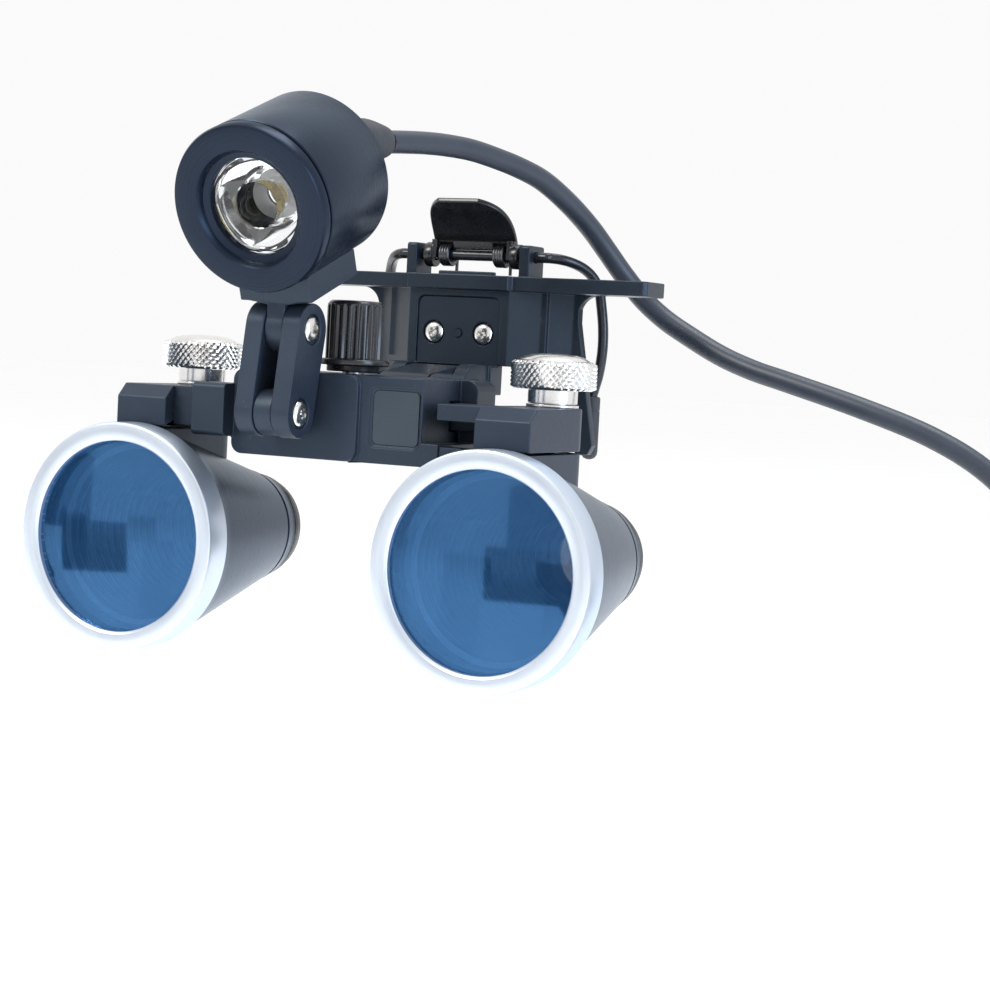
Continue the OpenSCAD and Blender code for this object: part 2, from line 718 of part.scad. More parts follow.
module left_foot() { foot(-1); }
module left_ring() { ring(-1); }
module left_tube() { tube(-1); }
module left_objective() { objective(-1); }
module left_baffle() { baffle(-1); }
module left_eye_lens() { eye_lens(-1); }
module left_eye_ring() { eye_ring(-1); }
module left_thumb_screw() { thumb_screw(-1); }
module left_stud() { stud(-1); }
module left_washer() { washer(-1); }
module right_foot() { foot(1); }
module right_ring() { ring(1); }
module right_tube() { tube(1); }
module right_objective() { objective(1); }
module right_baffle() { baffle(1); }
module right_eye_lens() { eye_lens(1); }
module right_eye_ring() { eye_ring(1); }
module right_thumb_screw() { thumb_screw(1); }
module right_stud() { stud(1); }
module right_washer() { washer(1); }

// Lamp arm

module lamp_arm() {
    color([0.12, 0.13, 0.16]) placed() translate([-lamp_left, 0, 0]) difference() {
        union() {
            for (x = [-cheek_out, cheek_in])
                side_outline(x, cheek_out - cheek_in) strap(arm_axis, lamp_axis, 3.4, 3.6);
            // web at the back that joins the cheeks, between the two lugs
            side_outline(-cheek_in - 0.1, 2 * cheek_in + 0.2)
                polygon([[6.3, 23.4], [7.6, 23.2], [8.1, 26], [6.8, 26.2]]);
        }
        along_x(-6, arm_axis) cylinder(h = 12, r = 1);
        along_x(-6, lamp_axis) cylinder(h = 12, r = 1);
        for (axis = [arm_axis, lamp_axis])
            along_x(cheek_out - 0.5, axis) cylinder(h = 2, r = 2.1);
    }
}

module arm_screws() {
    color([0.82, 0.82, 0.82]) placed() translate([-lamp_left, 0, 0])
        for (axis = [arm_axis, lamp_axis])
            translate([cheek_out - 0.5, axis[0], axis[1]]) rotate([0, -90, 0])
                cross_screw(1.75, 0.9, 1, 8);
}

// Lamp: its own axis runs back along +Y from the middle of its front face

module in_lamp() {
    placed() translate(lamp_face) rotate([lamp_pitch, 0, 0]) children();
}

module lamp_shell() {
    color([0.10, 0.11, 0.13]) in_lamp() turned([
        [9.8, 1.9], [lamp_r - 0.4, 1.9], [lamp_r - 0.4, 2.4], [lamp_r, 2.4],
        [lamp_r, lamp_length - 0.8], [lamp_r - 0.2, lamp_length - 0.6],
        [10.2, lamp_length - 0.6], [10.2, 3.2], [9.8, 3.2]
    ]);
}

module lamp_bezel() {
    color([0.12, 0.13, 0.15]) in_lamp() turned([
        [7.8, 0.4], [8.3, 0], [lamp_r - 0.5, 0], [lamp_r, 0.5], [lamp_r, 1.9],
        [9.8, 1.9], [9.8, 3.2], [6.7, 3.2], [6.7, 1.5]
    ]);
}

module lamp_optic() {
    // total internal reflection lens: a parabolic body with a well in its face
    flare = [for (i = [0 : 6]) let (t = i / 6) [3.4 + 3.3 * pow(t, 0.6), 12 - 8.6 * t]];
    color([0.85, 0.87, 0.9, 0.35]) in_lamp() turned(concat(
        [[3, 2.2], [3, 6.5], [0, 7.3], [0, 9.5], [2.4, 9.5], [2.4, 12]], flare,
        [[6.7, 2.2]]
    ));
}

module lamp_led() {
    color([0.95, 0.85, 0.35]) in_lamp() {
        translate([-1.7, 12, -1.7]) cube([3.4, 0.6, 3.4]);
        translate([0, 12, 0]) intersection() {
            sphere(1.3);
            translate([-2, -2, -2]) cube([4, 2, 4]);
        }
    }
}

module lamp_board() {
    color([0.85, 0.86, 0.85]) in_lamp() along_y(12.6) cylinder(h = 1, r = 9.4);
}

module lamp_heat_sink() {
    color([0.6, 0.62, 0.65]) in_lamp() turned([
        [0, 13.6], [10.2, 13.6], [10.2, 14.8], [4, 14.8], [4, lamp_length - 1.9],
        [0, lamp_length - 1.9]
    ]);
}

module lamp_back() {
    color([0.10, 0.11, 0.13]) in_lamp() turned([
        [0, lamp_length - 1.9], [10.2, lamp_length - 1.9], [10.2, lamp_length - 0.6],
        [lamp_r - 0.3, lamp_length - 0.6], [lamp_r - 0.7, lamp_length], [0, lamp_length]
    ]);
}

foot_half = 5.7;
lamp_lug_reach = 18.2;
module lamp_foot() {
    // the upper pivot's place in the lamp's own frame
    dy = lamp_axis[0] - lamp_face[1];
    dz = lamp_axis[1] - lamp_face[2];
    pivot = [dy * cos(lamp_pitch) + dz * sin(lamp_pitch), dz * cos(lamp_pitch) - dy * sin(lamp_pitch)];
    color([0.12, 0.13, 0.16]) in_lamp() difference() {
        union() {
            block([-foot_half, 3.5, -13.9], [foot_half, 16.2, -9.5]);
            // lug that narrows down to the pivot
            intersection() {
                side_outline(-foot_half, 2 * foot_half) {
                    translate(pivot) circle(3.3);
                    polygon([
                        pivot + [-3.3, 0], pivot + [3.3, 0], [10.5, -13.8], [3.5, -13.8]
                    ]);
                }
                front_outline(-5, 30) polygon([
                    [-4.2, -13.8], [4.2, -13.8], [lug_half, -14.3], [lug_half, -25],
                    [-lug_half, -25], [-lug_half, -14.3]
                ]);
            }
        }
        along_y() cylinder(h = 20, r = lamp_r, $fn = 96);
        along_x(-6, pivot) cylinder(h = 12, r = 1 + fit);
    }
}

// Tapered sleeve from the lamp's back to the cord
module cord_gland() {
    sleeve = [[0.9, 10, 56.1], [1.7, 12, 56.4], [2.3, 13.6, 56.6], [2.8, 14.9, 56.7], cord_route[0]];
    color([0.12, 0.13, 0.16]) difference() {
        placed() swept(sleeve, [3.2, 3, 2.7, 2.3, 2], 20);
        in_lamp() along_y(-1) cylinder(h = lamp_length + 1, r = lamp_r + 2);
    }
}

// Cord, hank and plug

module cord_lead() {
    color([0.13, 0.15, 0.18]) placed() {
        swept(cord_route, even(cord_route, cord_d / 2), 8);
        swept(tail_route, even(tail_route, cord_d / 2), 8);
    }
}

module cord_hank() {
    outer = hank_turn_r + cord_d / 2 + 0.1;
    color([0.13, 0.15, 0.18]) placed()
        translate([hank_middle[0], 0, 0])
            front_outline(hank_middle[1] - hank_deep / 2, hank_deep) {
                for (z = [hank_run_top, hank_run_top - hank_run])
                    translate([0, z]) circle(outer);
                translate([-outer, hank_run_top - hank_run]) square([2 * outer, hank_run]);
            }
}

module cord_tie() {
    wide = 2 * (hank_turn_r + cord_d / 2 + 0.1);
    color([0.06, 0.06, 0.06]) placed()
        translate([hank_middle[0], hank_middle[1], tie_z]) difference() {
            cube([wide + 1.6, hank_deep + 1.6, 4], center = true);
            cube([wide, hank_deep, 6], center = true);
        }
}

plug_r = 4.5;
module plug_cover() {
    color([0.07, 0.07, 0.08]) placed() translate(plug_top) rotate([180, 0, 0]) {
        cylinder(h = 7, r1 = 2.2, r2 = 3.4);
        translate([0, 0, 7]) cylinder(h = 14, r = plug_r);
    }
}

module plug_barrel() {
    color([0.8, 0.8, 0.8]) placed() translate(plug_top) rotate([180, 0, 0]) difference() {
        translate([0, 0, 21]) cylinder(h = 9.5, r = 2.75);
        translate([0, 0, 22]) cylinder(h = 9.5, r = 1.05);
    }
}

clip_frame();
hinge_base();
base_screws();
locating_pin();
torsion_springs();
flip_screw();
clamp_wire();
clamp_paddle();
rubber_tips();
hinge_link();
tilt_screw();
centre_housing();
rack_cover();
pinion();
spacing_knob();
left_rack();
left_carrier();
right_rack();
right_carrier();
left_foot();
left_ring();
left_tube();
left_objective();
left_baffle();
left_eye_lens();
left_eye_ring();
left_thumb_screw();
left_stud();
left_washer();
right_foot();
right_ring();
right_tube();
right_objective();
right_baffle();
right_eye_lens();
right_eye_ring();
right_thumb_screw();
right_stud();
right_washer();
lamp_arm();
arm_screws();
lamp_shell();
lamp_bezel();
lamp_optic();
lamp_led();
lamp_board();
lamp_heat_sink();
lamp_back();
lamp_foot();
cord_gland();
cord_lead();
cord_hank();
cord_tie();
plug_cover();
plug_barrel();
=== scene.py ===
import math
import bpy
import bmesh
from mathutils import Matrix, Vector


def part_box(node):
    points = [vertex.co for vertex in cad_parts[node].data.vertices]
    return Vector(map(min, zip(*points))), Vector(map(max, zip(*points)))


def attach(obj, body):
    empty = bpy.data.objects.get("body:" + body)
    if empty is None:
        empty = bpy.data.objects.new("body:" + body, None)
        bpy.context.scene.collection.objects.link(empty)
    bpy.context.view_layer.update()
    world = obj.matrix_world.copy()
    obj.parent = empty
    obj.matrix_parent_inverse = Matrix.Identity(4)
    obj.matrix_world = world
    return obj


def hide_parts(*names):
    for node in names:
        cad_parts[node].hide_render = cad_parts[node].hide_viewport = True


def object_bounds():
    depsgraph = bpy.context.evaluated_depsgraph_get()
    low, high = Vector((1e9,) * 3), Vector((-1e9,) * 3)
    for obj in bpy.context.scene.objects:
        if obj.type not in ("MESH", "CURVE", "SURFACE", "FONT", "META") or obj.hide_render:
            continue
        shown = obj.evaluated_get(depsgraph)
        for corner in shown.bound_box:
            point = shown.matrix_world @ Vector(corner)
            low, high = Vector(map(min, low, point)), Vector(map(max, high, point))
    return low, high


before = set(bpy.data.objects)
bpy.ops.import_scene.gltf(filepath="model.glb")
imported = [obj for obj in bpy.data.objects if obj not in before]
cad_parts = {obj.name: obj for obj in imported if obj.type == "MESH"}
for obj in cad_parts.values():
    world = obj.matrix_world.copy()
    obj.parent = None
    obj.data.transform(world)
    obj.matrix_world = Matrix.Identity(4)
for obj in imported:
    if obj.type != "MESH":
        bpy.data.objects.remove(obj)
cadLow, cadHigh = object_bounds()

mm = 0.001
designShift = Vector((0, -54.5, -28))  # from the design's origin, between the two rings, to the spectacle gap


def at(x, y, z):  # a place in the design, in millimetres, as metres in the frame
    return (Vector((x, y, z)) + designShift) * mm


# camera

cameraPlan = {
    "place": (0.159876, -0.317397, 0.000820),
    "azimuth": 26.206,
    "elevation": 3.621,
    "roll": 3.068,
    "lens": 83.29,
}


def makeCamera(plan):
    side, lift, roll = (math.radians(plan[key]) for key in ("azimuth", "elevation", "roll"))
    ahead = Vector((-math.sin(side) * math.cos(lift), math.cos(side) * math.cos(lift), -math.sin(lift)))
    right = Vector((math.cos(side), math.sin(side), 0))
    up = right.cross(ahead)
    across = math.cos(roll) * right + math.sin(roll) * up
    top = math.cos(roll) * up - math.sin(roll) * right
    turn = Matrix((across, top, -ahead)).transposed()
    bpy.ops.object.camera_add(location=plan["place"], rotation=turn.to_euler())
    camera = bpy.context.object
    camera.data.lens = plan["lens"]
    camera.data.sensor_width = 36
    camera.data.clip_start = 0.01
    bpy.context.scene.camera = camera


makeCamera(cameraPlan)
print("camera set")


# cord

cordPlan = {
    "diameter": 3.2,
    "length": 1.2,  # metres
    # listed, from the gland to the hank
    "lead": [
        (3.2, 16, 56.7), (3.9, 19, 57), (5.2, 23, 57.3), (6.6, 27, 57.4), (8.3, 31.5, 57.2),
        (10, 36, 56.5), (11.8, 40.5, 55.5), (13.6, 45, 54), (15.6, 49.8, 51.2), (17.4, 54, 48),
        (19, 57, 44.8), (21, 59.4, 41.3), (23.8, 60.8, 37.8), (27.2, 61.2, 35), (31, 61, 32.8),
        (37.2, 60, 29.8), (43, 59, 27.8), (49, 58, 26.3), (60.3, 57, 23.3), (70.9, 57, 19.8),
        (79, 57, 15.6), (85.2, 57, 10), (89.2, 57, 3), (91.2, 57, -5.5), (91.5, 57, -14),
    ],
    "hankMiddle": (104.4, 57),  # x of its middle, y of its first turn
    "hankTop": -20,
    "hankRun": 50,
    "turnPitch": 3.27,
    "outerRadius": 12.9,
    "innerRadius": 9.7,
    # and from the hank to the plug
    "tail": [
        (94.7, 55.8, -27), (94.8, 55.6, -30), (95.7, 55, -34.5), (97.5, 54, -38.5), (99.6, 53, -41.5),
        (101.7, 52, -44.5), (103.4, 51.1, -48), (104.2, 50.7, -51), (104.4, 50.6, -54),
    ],
}


def hankLine(plan):
    middle, front = plan["hankMiddle"]
    top, bottom = plan["hankTop"], plan["hankTop"] - plan["hankRun"]
    turns = [(plan["outerRadius"], slot) for slot in (0, 1, 2)]
    turns += [(plan["innerRadius"], slot) for slot in (3, 2, 1, 0)]
    line = []
    for (radius, slot), (nextRadius, nextSlot) in zip(turns, turns[1:]):
        y = front + slot * plan["turnPitch"]
        line += [(middle - radius, y, top - plan["hankRun"] * k / 6) for k in range(6)]
        for k in range(13):
            a = math.pi * (1 + k / 12)
            line.append((middle + radius * math.cos(a), y, bottom + radius * math.sin(a)))
        line += [(middle + radius, y, bottom + plan["hankRun"] * k / 6) for k in range(1, 6)]
        for k in range(12):
            a, share = math.pi * k / 12, (1 - math.cos(math.pi * k / 12)) / 2
            r = radius + (nextRadius - radius) * share
            shift = (nextSlot - slot) * plan["turnPitch"] * share
            line.append((middle + r * math.cos(a), y + shift, top + r * math.sin(a)))
    return line + [(middle - turns[-1][0], front, top)]


def smoothLine(points, count=6):  # a curve through every point, rounded at each
    places = [at(*point) for point in points]
    ends = [2 * places[0] - places[1]] + places + [2 * places[-1] - places[-2]]
    line = []
    for a, b, c, d in zip(ends, ends[1:], ends[2:], ends[3:]):
        for k in range(count):
            t = k / count
            bend, twist = 2 * a - 5 * b + 4 * c - d, 3 * b - 3 * c + d - a
            line.append(0.5 * (2 * b + (c - a) * t + bend * t ** 2 + twist * t ** 3))
    return line + [places[-1]]


def makeTube(name, line, radius, corners=4):
    curve = bpy.data.curves.new(name, "CURVE")
    curve.dimensions = "3D"
    spline = curve.splines.new("POLY")
    spline.points.add(len(line) - 1)
    for point, place in zip(spline.points, line):
        point.co = (*place, 1)
    curve.bevel_depth = radius * mm
    curve.bevel_resolution = corners
    curve.use_fill_caps = True
    tube = bpy.data.objects.new(name, curve)
    bpy.context.scene.collection.objects.link(tube)
    return tube


cordLine = smoothLine(cordPlan["lead"] + hankLine(cordPlan) + cordPlan["tail"])
cord = makeTube("cord", cordLine, cordPlan["diameter"] / 2)
print("cord laid,", round(sum((b - a).length for a, b in zip(cordLine, cordLine[1:])), 3), "m")


# modelling tools

def clearSelection():
    bpy.ops.object.select_all(action="DESELECT")


def pickOnly(piece):
    clearSelection()
    piece.select_set(True)
    bpy.context.view_layer.objects.active = piece


def editing(piece):
    pickOnly(piece)
    bpy.ops.object.mode_set(mode="EDIT")
    bpy.ops.mesh.select_all(action="SELECT")


def doneEditing():
    bpy.ops.object.mode_set(mode="OBJECT")


def pickVertices(piece, test):
    mesh = bmesh.from_edit_mesh(piece.data)
    for face in mesh.faces:
        face.select = False
    for edge in mesh.edges:
        edge.select = False
    for vertex in mesh.verts:
        vertex.select = test(vertex.co)
    mesh.select_flush(True)
    bmesh.update_edit_mesh(piece.data)


def nameMade(name):
    piece = bpy.context.object
    piece.name = name
    piece.data.name = name
    return piece


def cleanUp(piece, merge=0.000002):
    editing(piece)
    bpy.ops.mesh.remove_doubles(threshold=merge)
    bpy.ops.mesh.normals_make_consistent(inside=False)
    doneEditing()


def roundEdges(piece, width, segments=2, angle=30):
    pickOnly(piece)
    bevel = piece.modifiers.new("edges", "BEVEL")
    bevel.width = width * mm
    bevel.segments = segments
    bevel.limit_method = "ANGLE"
    bevel.angle_limit = math.radians(angle)
    bevel.use_clamp_overlap = False
    bevel.harden_normals = False
    bpy.ops.object.modifier_apply(modifier=bevel.name)


def smoothShade(piece, angle=32):
    pickOnly(piece)
    bpy.ops.object.shade_smooth_by_angle(angle=math.radians(angle))


def bakePlace(piece):
    pickOnly(piece)
    bpy.ops.object.transform_apply(location=True, rotation=True, scale=True)


def turnProfile(name, points, start, axis=(0, 1, 0), closed=True, steps=96):
    # points are (radius, distance along the axis) in millimetres
    axis = Vector(axis).normalized()
    out = axis.orthogonal().normalized()
    places = [start + (out * radius + axis * along) * mm for radius, along in points]
    clearSelection()
    bpy.ops.mesh.primitive_plane_add(size=mm)
    piece = nameMade(name)
    bpy.ops.object.mode_set(mode="EDIT")
    bpy.ops.mesh.merge(type="CENTER")
    bpy.ops.transform.translate(value=places[0])
    for a, b in zip(places, places[1:]):
        bpy.ops.mesh.extrude_vertices_move(TRANSFORM_OT_translate={"value": b - a})
    if closed:
        pickVertices(piece, lambda co: min((co - places[0]).length, (co - places[-1]).length) < 1e-7)
        bpy.ops.mesh.edge_face_add()
    bpy.ops.mesh.select_all(action="SELECT")
    bpy.ops.mesh.spin(steps=steps, angle=2 * math.pi, center=start, axis=axis, use_auto_merge=True)
    doneEditing()
    cleanUp(piece)
    smoothShade(piece)
    return piece


def growRings(rings, centre, axis):
    # carries a selected circle through (radius, height) pairs
    for (radius, height), (nextRadius, nextHeight) in zip(rings, rings[1:]):
        bpy.ops.mesh.extrude_region_move(TRANSFORM_OT_translate={"value": axis * (nextHeight - height) * mm})
        share = nextRadius / radius
        bpy.ops.transform.resize(value=(share, share, share), center_override=centre + axis * nextHeight * mm)


def copyPiece(piece, name, shift):
    pickOnly(piece)
    bpy.ops.object.duplicate(linked=False)
    double = nameMade(name)
    bpy.ops.transform.translate(value=shift)
    bakePlace(double)
    return double


def softenNode(nodeName, width, segments=2, angle=32):
    # a copy of a CAD part with its sharp edges broken
    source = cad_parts[nodeName]
    piece = bpy.data.objects.new(nodeName + "_finished", source.data.copy())
    bpy.context.scene.collection.objects.link(piece)
    editing(piece)
    bpy.ops.mesh.remove_doubles(threshold=0.000004)
    bpy.ops.mesh.dissolve_limited(angle_limit=math.radians(2))
    doneEditing()
    roundEdges(piece, width, segments, angle)
    smoothShade(piece, 35)
    weighted = piece.modifiers.new("flats", "WEIGHTED_NORMAL")
    weighted.keep_sharp = True
    bpy.ops.object.modifier_apply(modifier=weighted.name)
    piece.data.materials.clear()
    return piece


def hand(piece, body, slotName, finish, *nodes):
    piece.data.materials.clear()
    piece.data.materials.append(finish)
    if nodes:
        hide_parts(*nodes)
    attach(piece, body)


# finishes

class Tap:  # one output in a shader tree, with arithmetic

    def __init__(self, finish, socket):
        self.finish = finish
        self.socket = socket

    def maths(self, operation, first, second=0.0):
        return self.finish.node("ShaderNodeMath", {"operation": operation}, {0: first, 1: second})

    def __add__(self, other):
        return self.maths("ADD", self, other)

    def __radd__(self, other):
        return self.maths("ADD", other, self)

    def __sub__(self, other):
        return self.maths("SUBTRACT", self, other)

    def __rsub__(self, other):
        return self.maths("SUBTRACT", other, self)

    def __mul__(self, other):
        return self.maths("MULTIPLY", self, other)

    def __rmul__(self, other):
        return self.maths("MULTIPLY", other, self)

    def __truediv__(self, other):
        return self.maths("DIVIDE", self, other)

    def __gt__(self, other):
        return self.maths("GREATER_THAN", self, other)

    def __abs__(self):
        return self.maths("ABSOLUTE", self)

    def root(self):
        return self.maths("SQRT", self)

    def fraction(self):
        return self.maths("FRACT", self)


class Finish:  # a material and its tree

    def __init__(self, name):
        self.material = bpy.data.materials.new(name)
        self.material.use_nodes = True
        self.tree = self.material.node_tree
        self.tree.nodes.clear()

    def node(self, kind, settings=None, values=None, output=0):
        made = self.tree.nodes.new(kind)
        for name, value in (settings or {}).items():
            setattr(made, name, value)
        for key, value in (values or {}).items():
            if isinstance(value, Tap):
                self.tree.links.new(value.socket, made.inputs[key])
            else:
                made.inputs[key].default_value = value
        return Tap(self, made.outputs[output])

    def place(self, centre=(0, 0, 0), turn=(0, 0, 0)):
        spot = self.node("ShaderNodeTexCoord", output="Object")
        moved = {"Vector": spot, "Location": centre, "Rotation": turn}
        return self.node("ShaderNodeMapping", {"vector_type": "TEXTURE"}, moved)

    def noise(self, vector, scale, detail=3.0, roughness=0.55):
        values = {"Vector": vector, "Scale": scale, "Detail": detail, "Roughness": roughness}
        return self.node("ShaderNodeTexNoise", {}, values)

    def lines(self, distance, scale, detail=2.0):
        values = {"W": distance, "Scale": scale, "Detail": detail}
        return self.node("ShaderNodeTexNoise", {"noise_dimensions": "1D"}, values)

    def between(self, share, first, second):
        return self.node("ShaderNodeMix", {"data_type": "RGBA"}, {0: share, 6: first, 7: second}, output=2)

    def relief(self, height, depth, normal=None):
        values = {"Height": height, "Strength": 1.0, "Distance": depth * mm}
        if normal:
            values["Normal"] = normal
        return self.node("ShaderNodeBump", {}, values)

    def done(self, values):
        surface = self.node("ShaderNodeBsdfPrincipled", {}, values)
        end = self.tree.nodes.new("ShaderNodeOutputMaterial")
        self.tree.links.new(surface.socket, end.inputs["Surface"])
        return self.material


paintedBlueReflection = (0.66, 0.82, 1.0, 1)  # painted blue reflection: the dark plastics and coatings get a blue tint on every reflection, standing in for blue light around them


def mouldedPlastic(name, recipe):
    finish = Finish(name)
    spot = finish.place()
    cloud = finish.noise(spot, 160, 4)
    grain = finish.noise(spot, recipe["grain"], 2)
    specks = finish.noise(spot, recipe["grain"] * 0.45, 6, 0.7) > 0.66
    colour = finish.between(cloud, recipe["dark"], recipe["light"])
    return finish.done({
        "Base Color": finish.between(specks * 0.35, colour, recipe["dust"]),
        "Roughness": recipe["roughness"] + (grain - 0.5) * 0.16 + (cloud - 0.5) * 0.14,
        "Specular IOR Level": recipe["shine"],
        # Specular Tint: painted blue reflection
        "Specular Tint": paintedBlueReflection,
        "Normal": finish.relief(grain, recipe["depth"], finish.relief(cloud, 0.05)),
    })


def turnedMetal(name, recipe):
    finish = Finish(name)
    spot = finish.place(recipe.get("centre", (0, 0, 0)), recipe.get("turn", (0, 0, 0)))
    parts = [finish.node("ShaderNodeSeparateXYZ", {}, {0: spot}, output=k) for k in range(3)]
    across = abs(parts[0]) - recipe.get("spread", 0) * mm
    radial = (across * across + parts[2] * parts[2]).root()
    cuts = finish.lines(radial + parts[1] * 0.83, recipe["cuts"])
    cloud = finish.noise(spot, 120, 4)
    return finish.done({
        "Base Color": finish.between(cloud * 0.6 + cuts * 0.4, recipe["dark"], recipe["light"]),
        "Metallic": recipe["metal"],
        "Roughness": recipe["roughness"] + (cuts - 0.5) * recipe["swing"] + (cloud - 0.5) * 0.08,
        "Specular IOR Level": recipe.get("shine", 0.5),
        # Specular Tint: painted blue reflection
        "Specular Tint": paintedBlueReflection,
        "Normal": finish.relief(cuts, recipe["depth"]),
    })


def steppedLiner(name, recipe):  # each step's edge gets a painted highlight
    finish = Finish(name)
    spot = finish.place()
    along = finish.node("ShaderNodeSeparateXYZ", {}, {0: spot}, output=1)
    step = ((along - recipe["start"]) / recipe["pitch"]).fraction()
    cloud = finish.noise(spot, 200, 4)
    return finish.done({
        # painted highlight: the first third of each step takes the light edge colour, the rest the dark
        # groove colour
        "Base Color": finish.between((step > 0.34) * 0.9 + cloud * 0.1, recipe["edge"], recipe["groove"]),
        "Roughness": 0.34 + (cloud - 0.5) * 0.12,
        "Normal": finish.relief(cloud, 0.02),
    })


def worn(name, recipe):  # plain metal, rubber or gloss, a little uneven
    finish = Finish(name)
    spot = finish.place()
    cloud = finish.noise(spot, recipe["cloud"], 4)
    fine = finish.noise(spot, recipe["fine"], 3)
    values = {
        "Base Color": finish.between(cloud, recipe["dark"], recipe["light"]),
        "Metallic": recipe.get("metal", 0.0),
        "Roughness": recipe["roughness"] + (cloud - 0.5) * recipe["swing"],
        "Normal": finish.relief(fine, recipe["depth"]),
    }
    if "coat" in recipe:
        values["Coat Weight"] = recipe["coat"]
        values["Coat Roughness"] = 0.06
    return finish.done(values)


barrelCentre = (0, 0, designShift.z * mm)
sideX = (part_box("right_ring")[0].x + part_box("right_ring")[1].x) / 2 / mm
lampFace = Vector((-5.5, -5.4, 45.45))
lampPitch = math.radians(21)
linerPlan = {  # the stepped liner in each barrel
    "steps": 20,
    "start": 6.2,
    "pitch": 1.25,
    "gap": 2.2,  # from the tube's outer face to the liner's
}

slateFinish = mouldedPlastic("slate_plastic", {
    "dark": (0.012, 0.017, 0.028, 1), "light": (0.021, 0.029, 0.045, 1), "dust": (0.07, 0.09, 0.13, 1),
    "roughness": 0.42, "shine": 0.42, "grain": 2600, "depth": 0.016,
})
blackFinish = mouldedPlastic("black_plastic", {
    "dark": (0.007, 0.010, 0.016, 1), "light": (0.013, 0.018, 0.027, 1), "dust": (0.05, 0.065, 0.09, 1),
    "roughness": 0.36, "shine": 0.42, "grain": 2600, "depth": 0.014,
})
greyFinish = mouldedPlastic("grey_plastic", {
    "dark": (0.026, 0.034, 0.043, 1), "light": (0.040, 0.050, 0.061, 1), "dust": (0.09, 0.11, 0.13, 1),
    "roughness": 0.5, "shine": 0.5, "grain": 1900, "depth": 0.02,
})
anodisedFinish = turnedMetal("black_anodised", {
    "centre": barrelCentre, "spread": sideX, "cuts": 5200,
    "dark": (0.004, 0.008, 0.020, 1), "light": (0.011, 0.019, 0.042, 1),
    "metal": 0.3, "roughness": 0.28, "swing": 0.14, "shine": 0.32, "depth": 0.005,
})
lampFinish = turnedMetal("lamp_anodised", {
    "centre": at(*lampFace), "turn": (lampPitch, 0, 0), "cuts": 5200,
    "dark": (0.005, 0.008, 0.017, 1), "light": (0.012, 0.018, 0.034, 1),
    "metal": 0.4, "roughness": 0.3, "swing": 0.16, "shine": 0.35, "depth": 0.005,
})
ringFinish = turnedMetal("satin_ring", {
    "centre": barrelCentre, "spread": sideX, "cuts": 7000,
    "dark": (0.53, 0.58, 0.65, 1), "light": (0.70, 0.75, 0.82, 1),
    "metal": 0.9, "roughness": 0.34, "swing": 0.22, "depth": 0.006,
})
sinkFinish = turnedMetal("bare_aluminium", {
    "centre": at(*lampFace), "turn": (lampPitch, 0, 0), "cuts": 4200,
    "dark": (0.52, 0.53, 0.55, 1), "light": (0.66, 0.67, 0.70, 1),
    "metal": 1.0, "roughness": 0.32, "swing": 0.2, "depth": 0.006,
})
paintedEdgeBaffleFinish = steppedLiner("baffle_blue_painted_highlights", {
    "start": at(0, linerPlan["start"], 0).y, "pitch": linerPlan["pitch"] * mm,
    # edge is the painted highlight colour on each step's edge
    "edge": (0.16, 0.36, 0.62, 1), "groove": (0.010, 0.035, 0.080, 1),
})
knobFinish = worn("nickel_knob", {
    "dark": (0.72, 0.71, 0.70, 1), "light": (0.90, 0.89, 0.88, 1), "metal": 1.0,
    "roughness": 0.2, "swing": 0.12, "cloud": 900, "fine": 5200, "depth": 0.006,
})
screwFinish = worn("nickel_screws", {
    "dark": (0.66, 0.64, 0.61, 1), "light": (0.88, 0.87, 0.85, 1), "metal": 1.0,
    "roughness": 0.2, "swing": 0.16, "cloud": 1400, "fine": 5200, "depth": 0.01,
})
steelFinish = worn("pinion_steel", {
    "dark": (0.42, 0.42, 0.42, 1), "light": (0.58, 0.58, 0.57, 1), "metal": 1.0,
    "roughness": 0.34, "swing": 0.12, "cloud": 900, "fine": 4000, "depth": 0.01,
})
springFinish = worn("spring_steel", {
    "dark": (0.06, 0.06, 0.065, 1), "light": (0.15, 0.15, 0.16, 1), "metal": 0.9,
    "roughness": 0.3, "swing": 0.15, "cloud": 900, "fine": 4000, "depth": 0.01,
})
wireFinish = worn("black_wire", {
    "dark": (0.012, 0.014, 0.018, 1), "light": (0.028, 0.032, 0.040, 1), "metal": 0.3,
    "roughness": 0.24, "swing": 0.12, "cloud": 500, "fine": 3000, "depth": 0.006,
})
glossFinish = worn("gloss_black", {
    "dark": (0.006, 0.006, 0.008, 1), "light": (0.013, 0.014, 0.017, 1),
    "roughness": 0.27, "swing": 0.1, "cloud": 300, "fine": 1400, "depth": 0.006, "coat": 0.12,
})
rubberFinish = worn("soft_rubber", {
    "dark": (0.018, 0.020, 0.025, 1), "light": (0.036, 0.040, 0.048, 1),
    "roughness": 0.6, "swing": 0.14, "cloud": 500, "fine": 3200, "depth": 0.02,
})
cordFinish = worn("cord_pvc", {
    "dark": (0.014, 0.020, 0.032, 1), "light": (0.024, 0.033, 0.050, 1),
    "roughness": 0.42, "swing": 0.14, "cloud": 220, "fine": 2600, "depth": 0.014,
})
boardFinish = worn("white_board", {
    "dark": (0.70, 0.70, 0.67, 1), "light": (0.84, 0.84, 0.82, 1),
    "roughness": 0.5, "swing": 0.1, "cloud": 600, "fine": 2600, "depth": 0.01,
})


def coatedGlass(name, recipe):
    finish = Finish(name)
    spot = finish.place()
    cloud = finish.noise(spot, 45, 2)
    return finish.done({
        "Base Color": finish.between(cloud, recipe["dark"], recipe["light"]),
        "Metallic": recipe["metal"],
        "Roughness": 0.03 + cloud * 0.02,
        "IOR": recipe["index"],
        "Alpha": recipe["cover"] + (cloud - 0.5) * 0.06,
    })


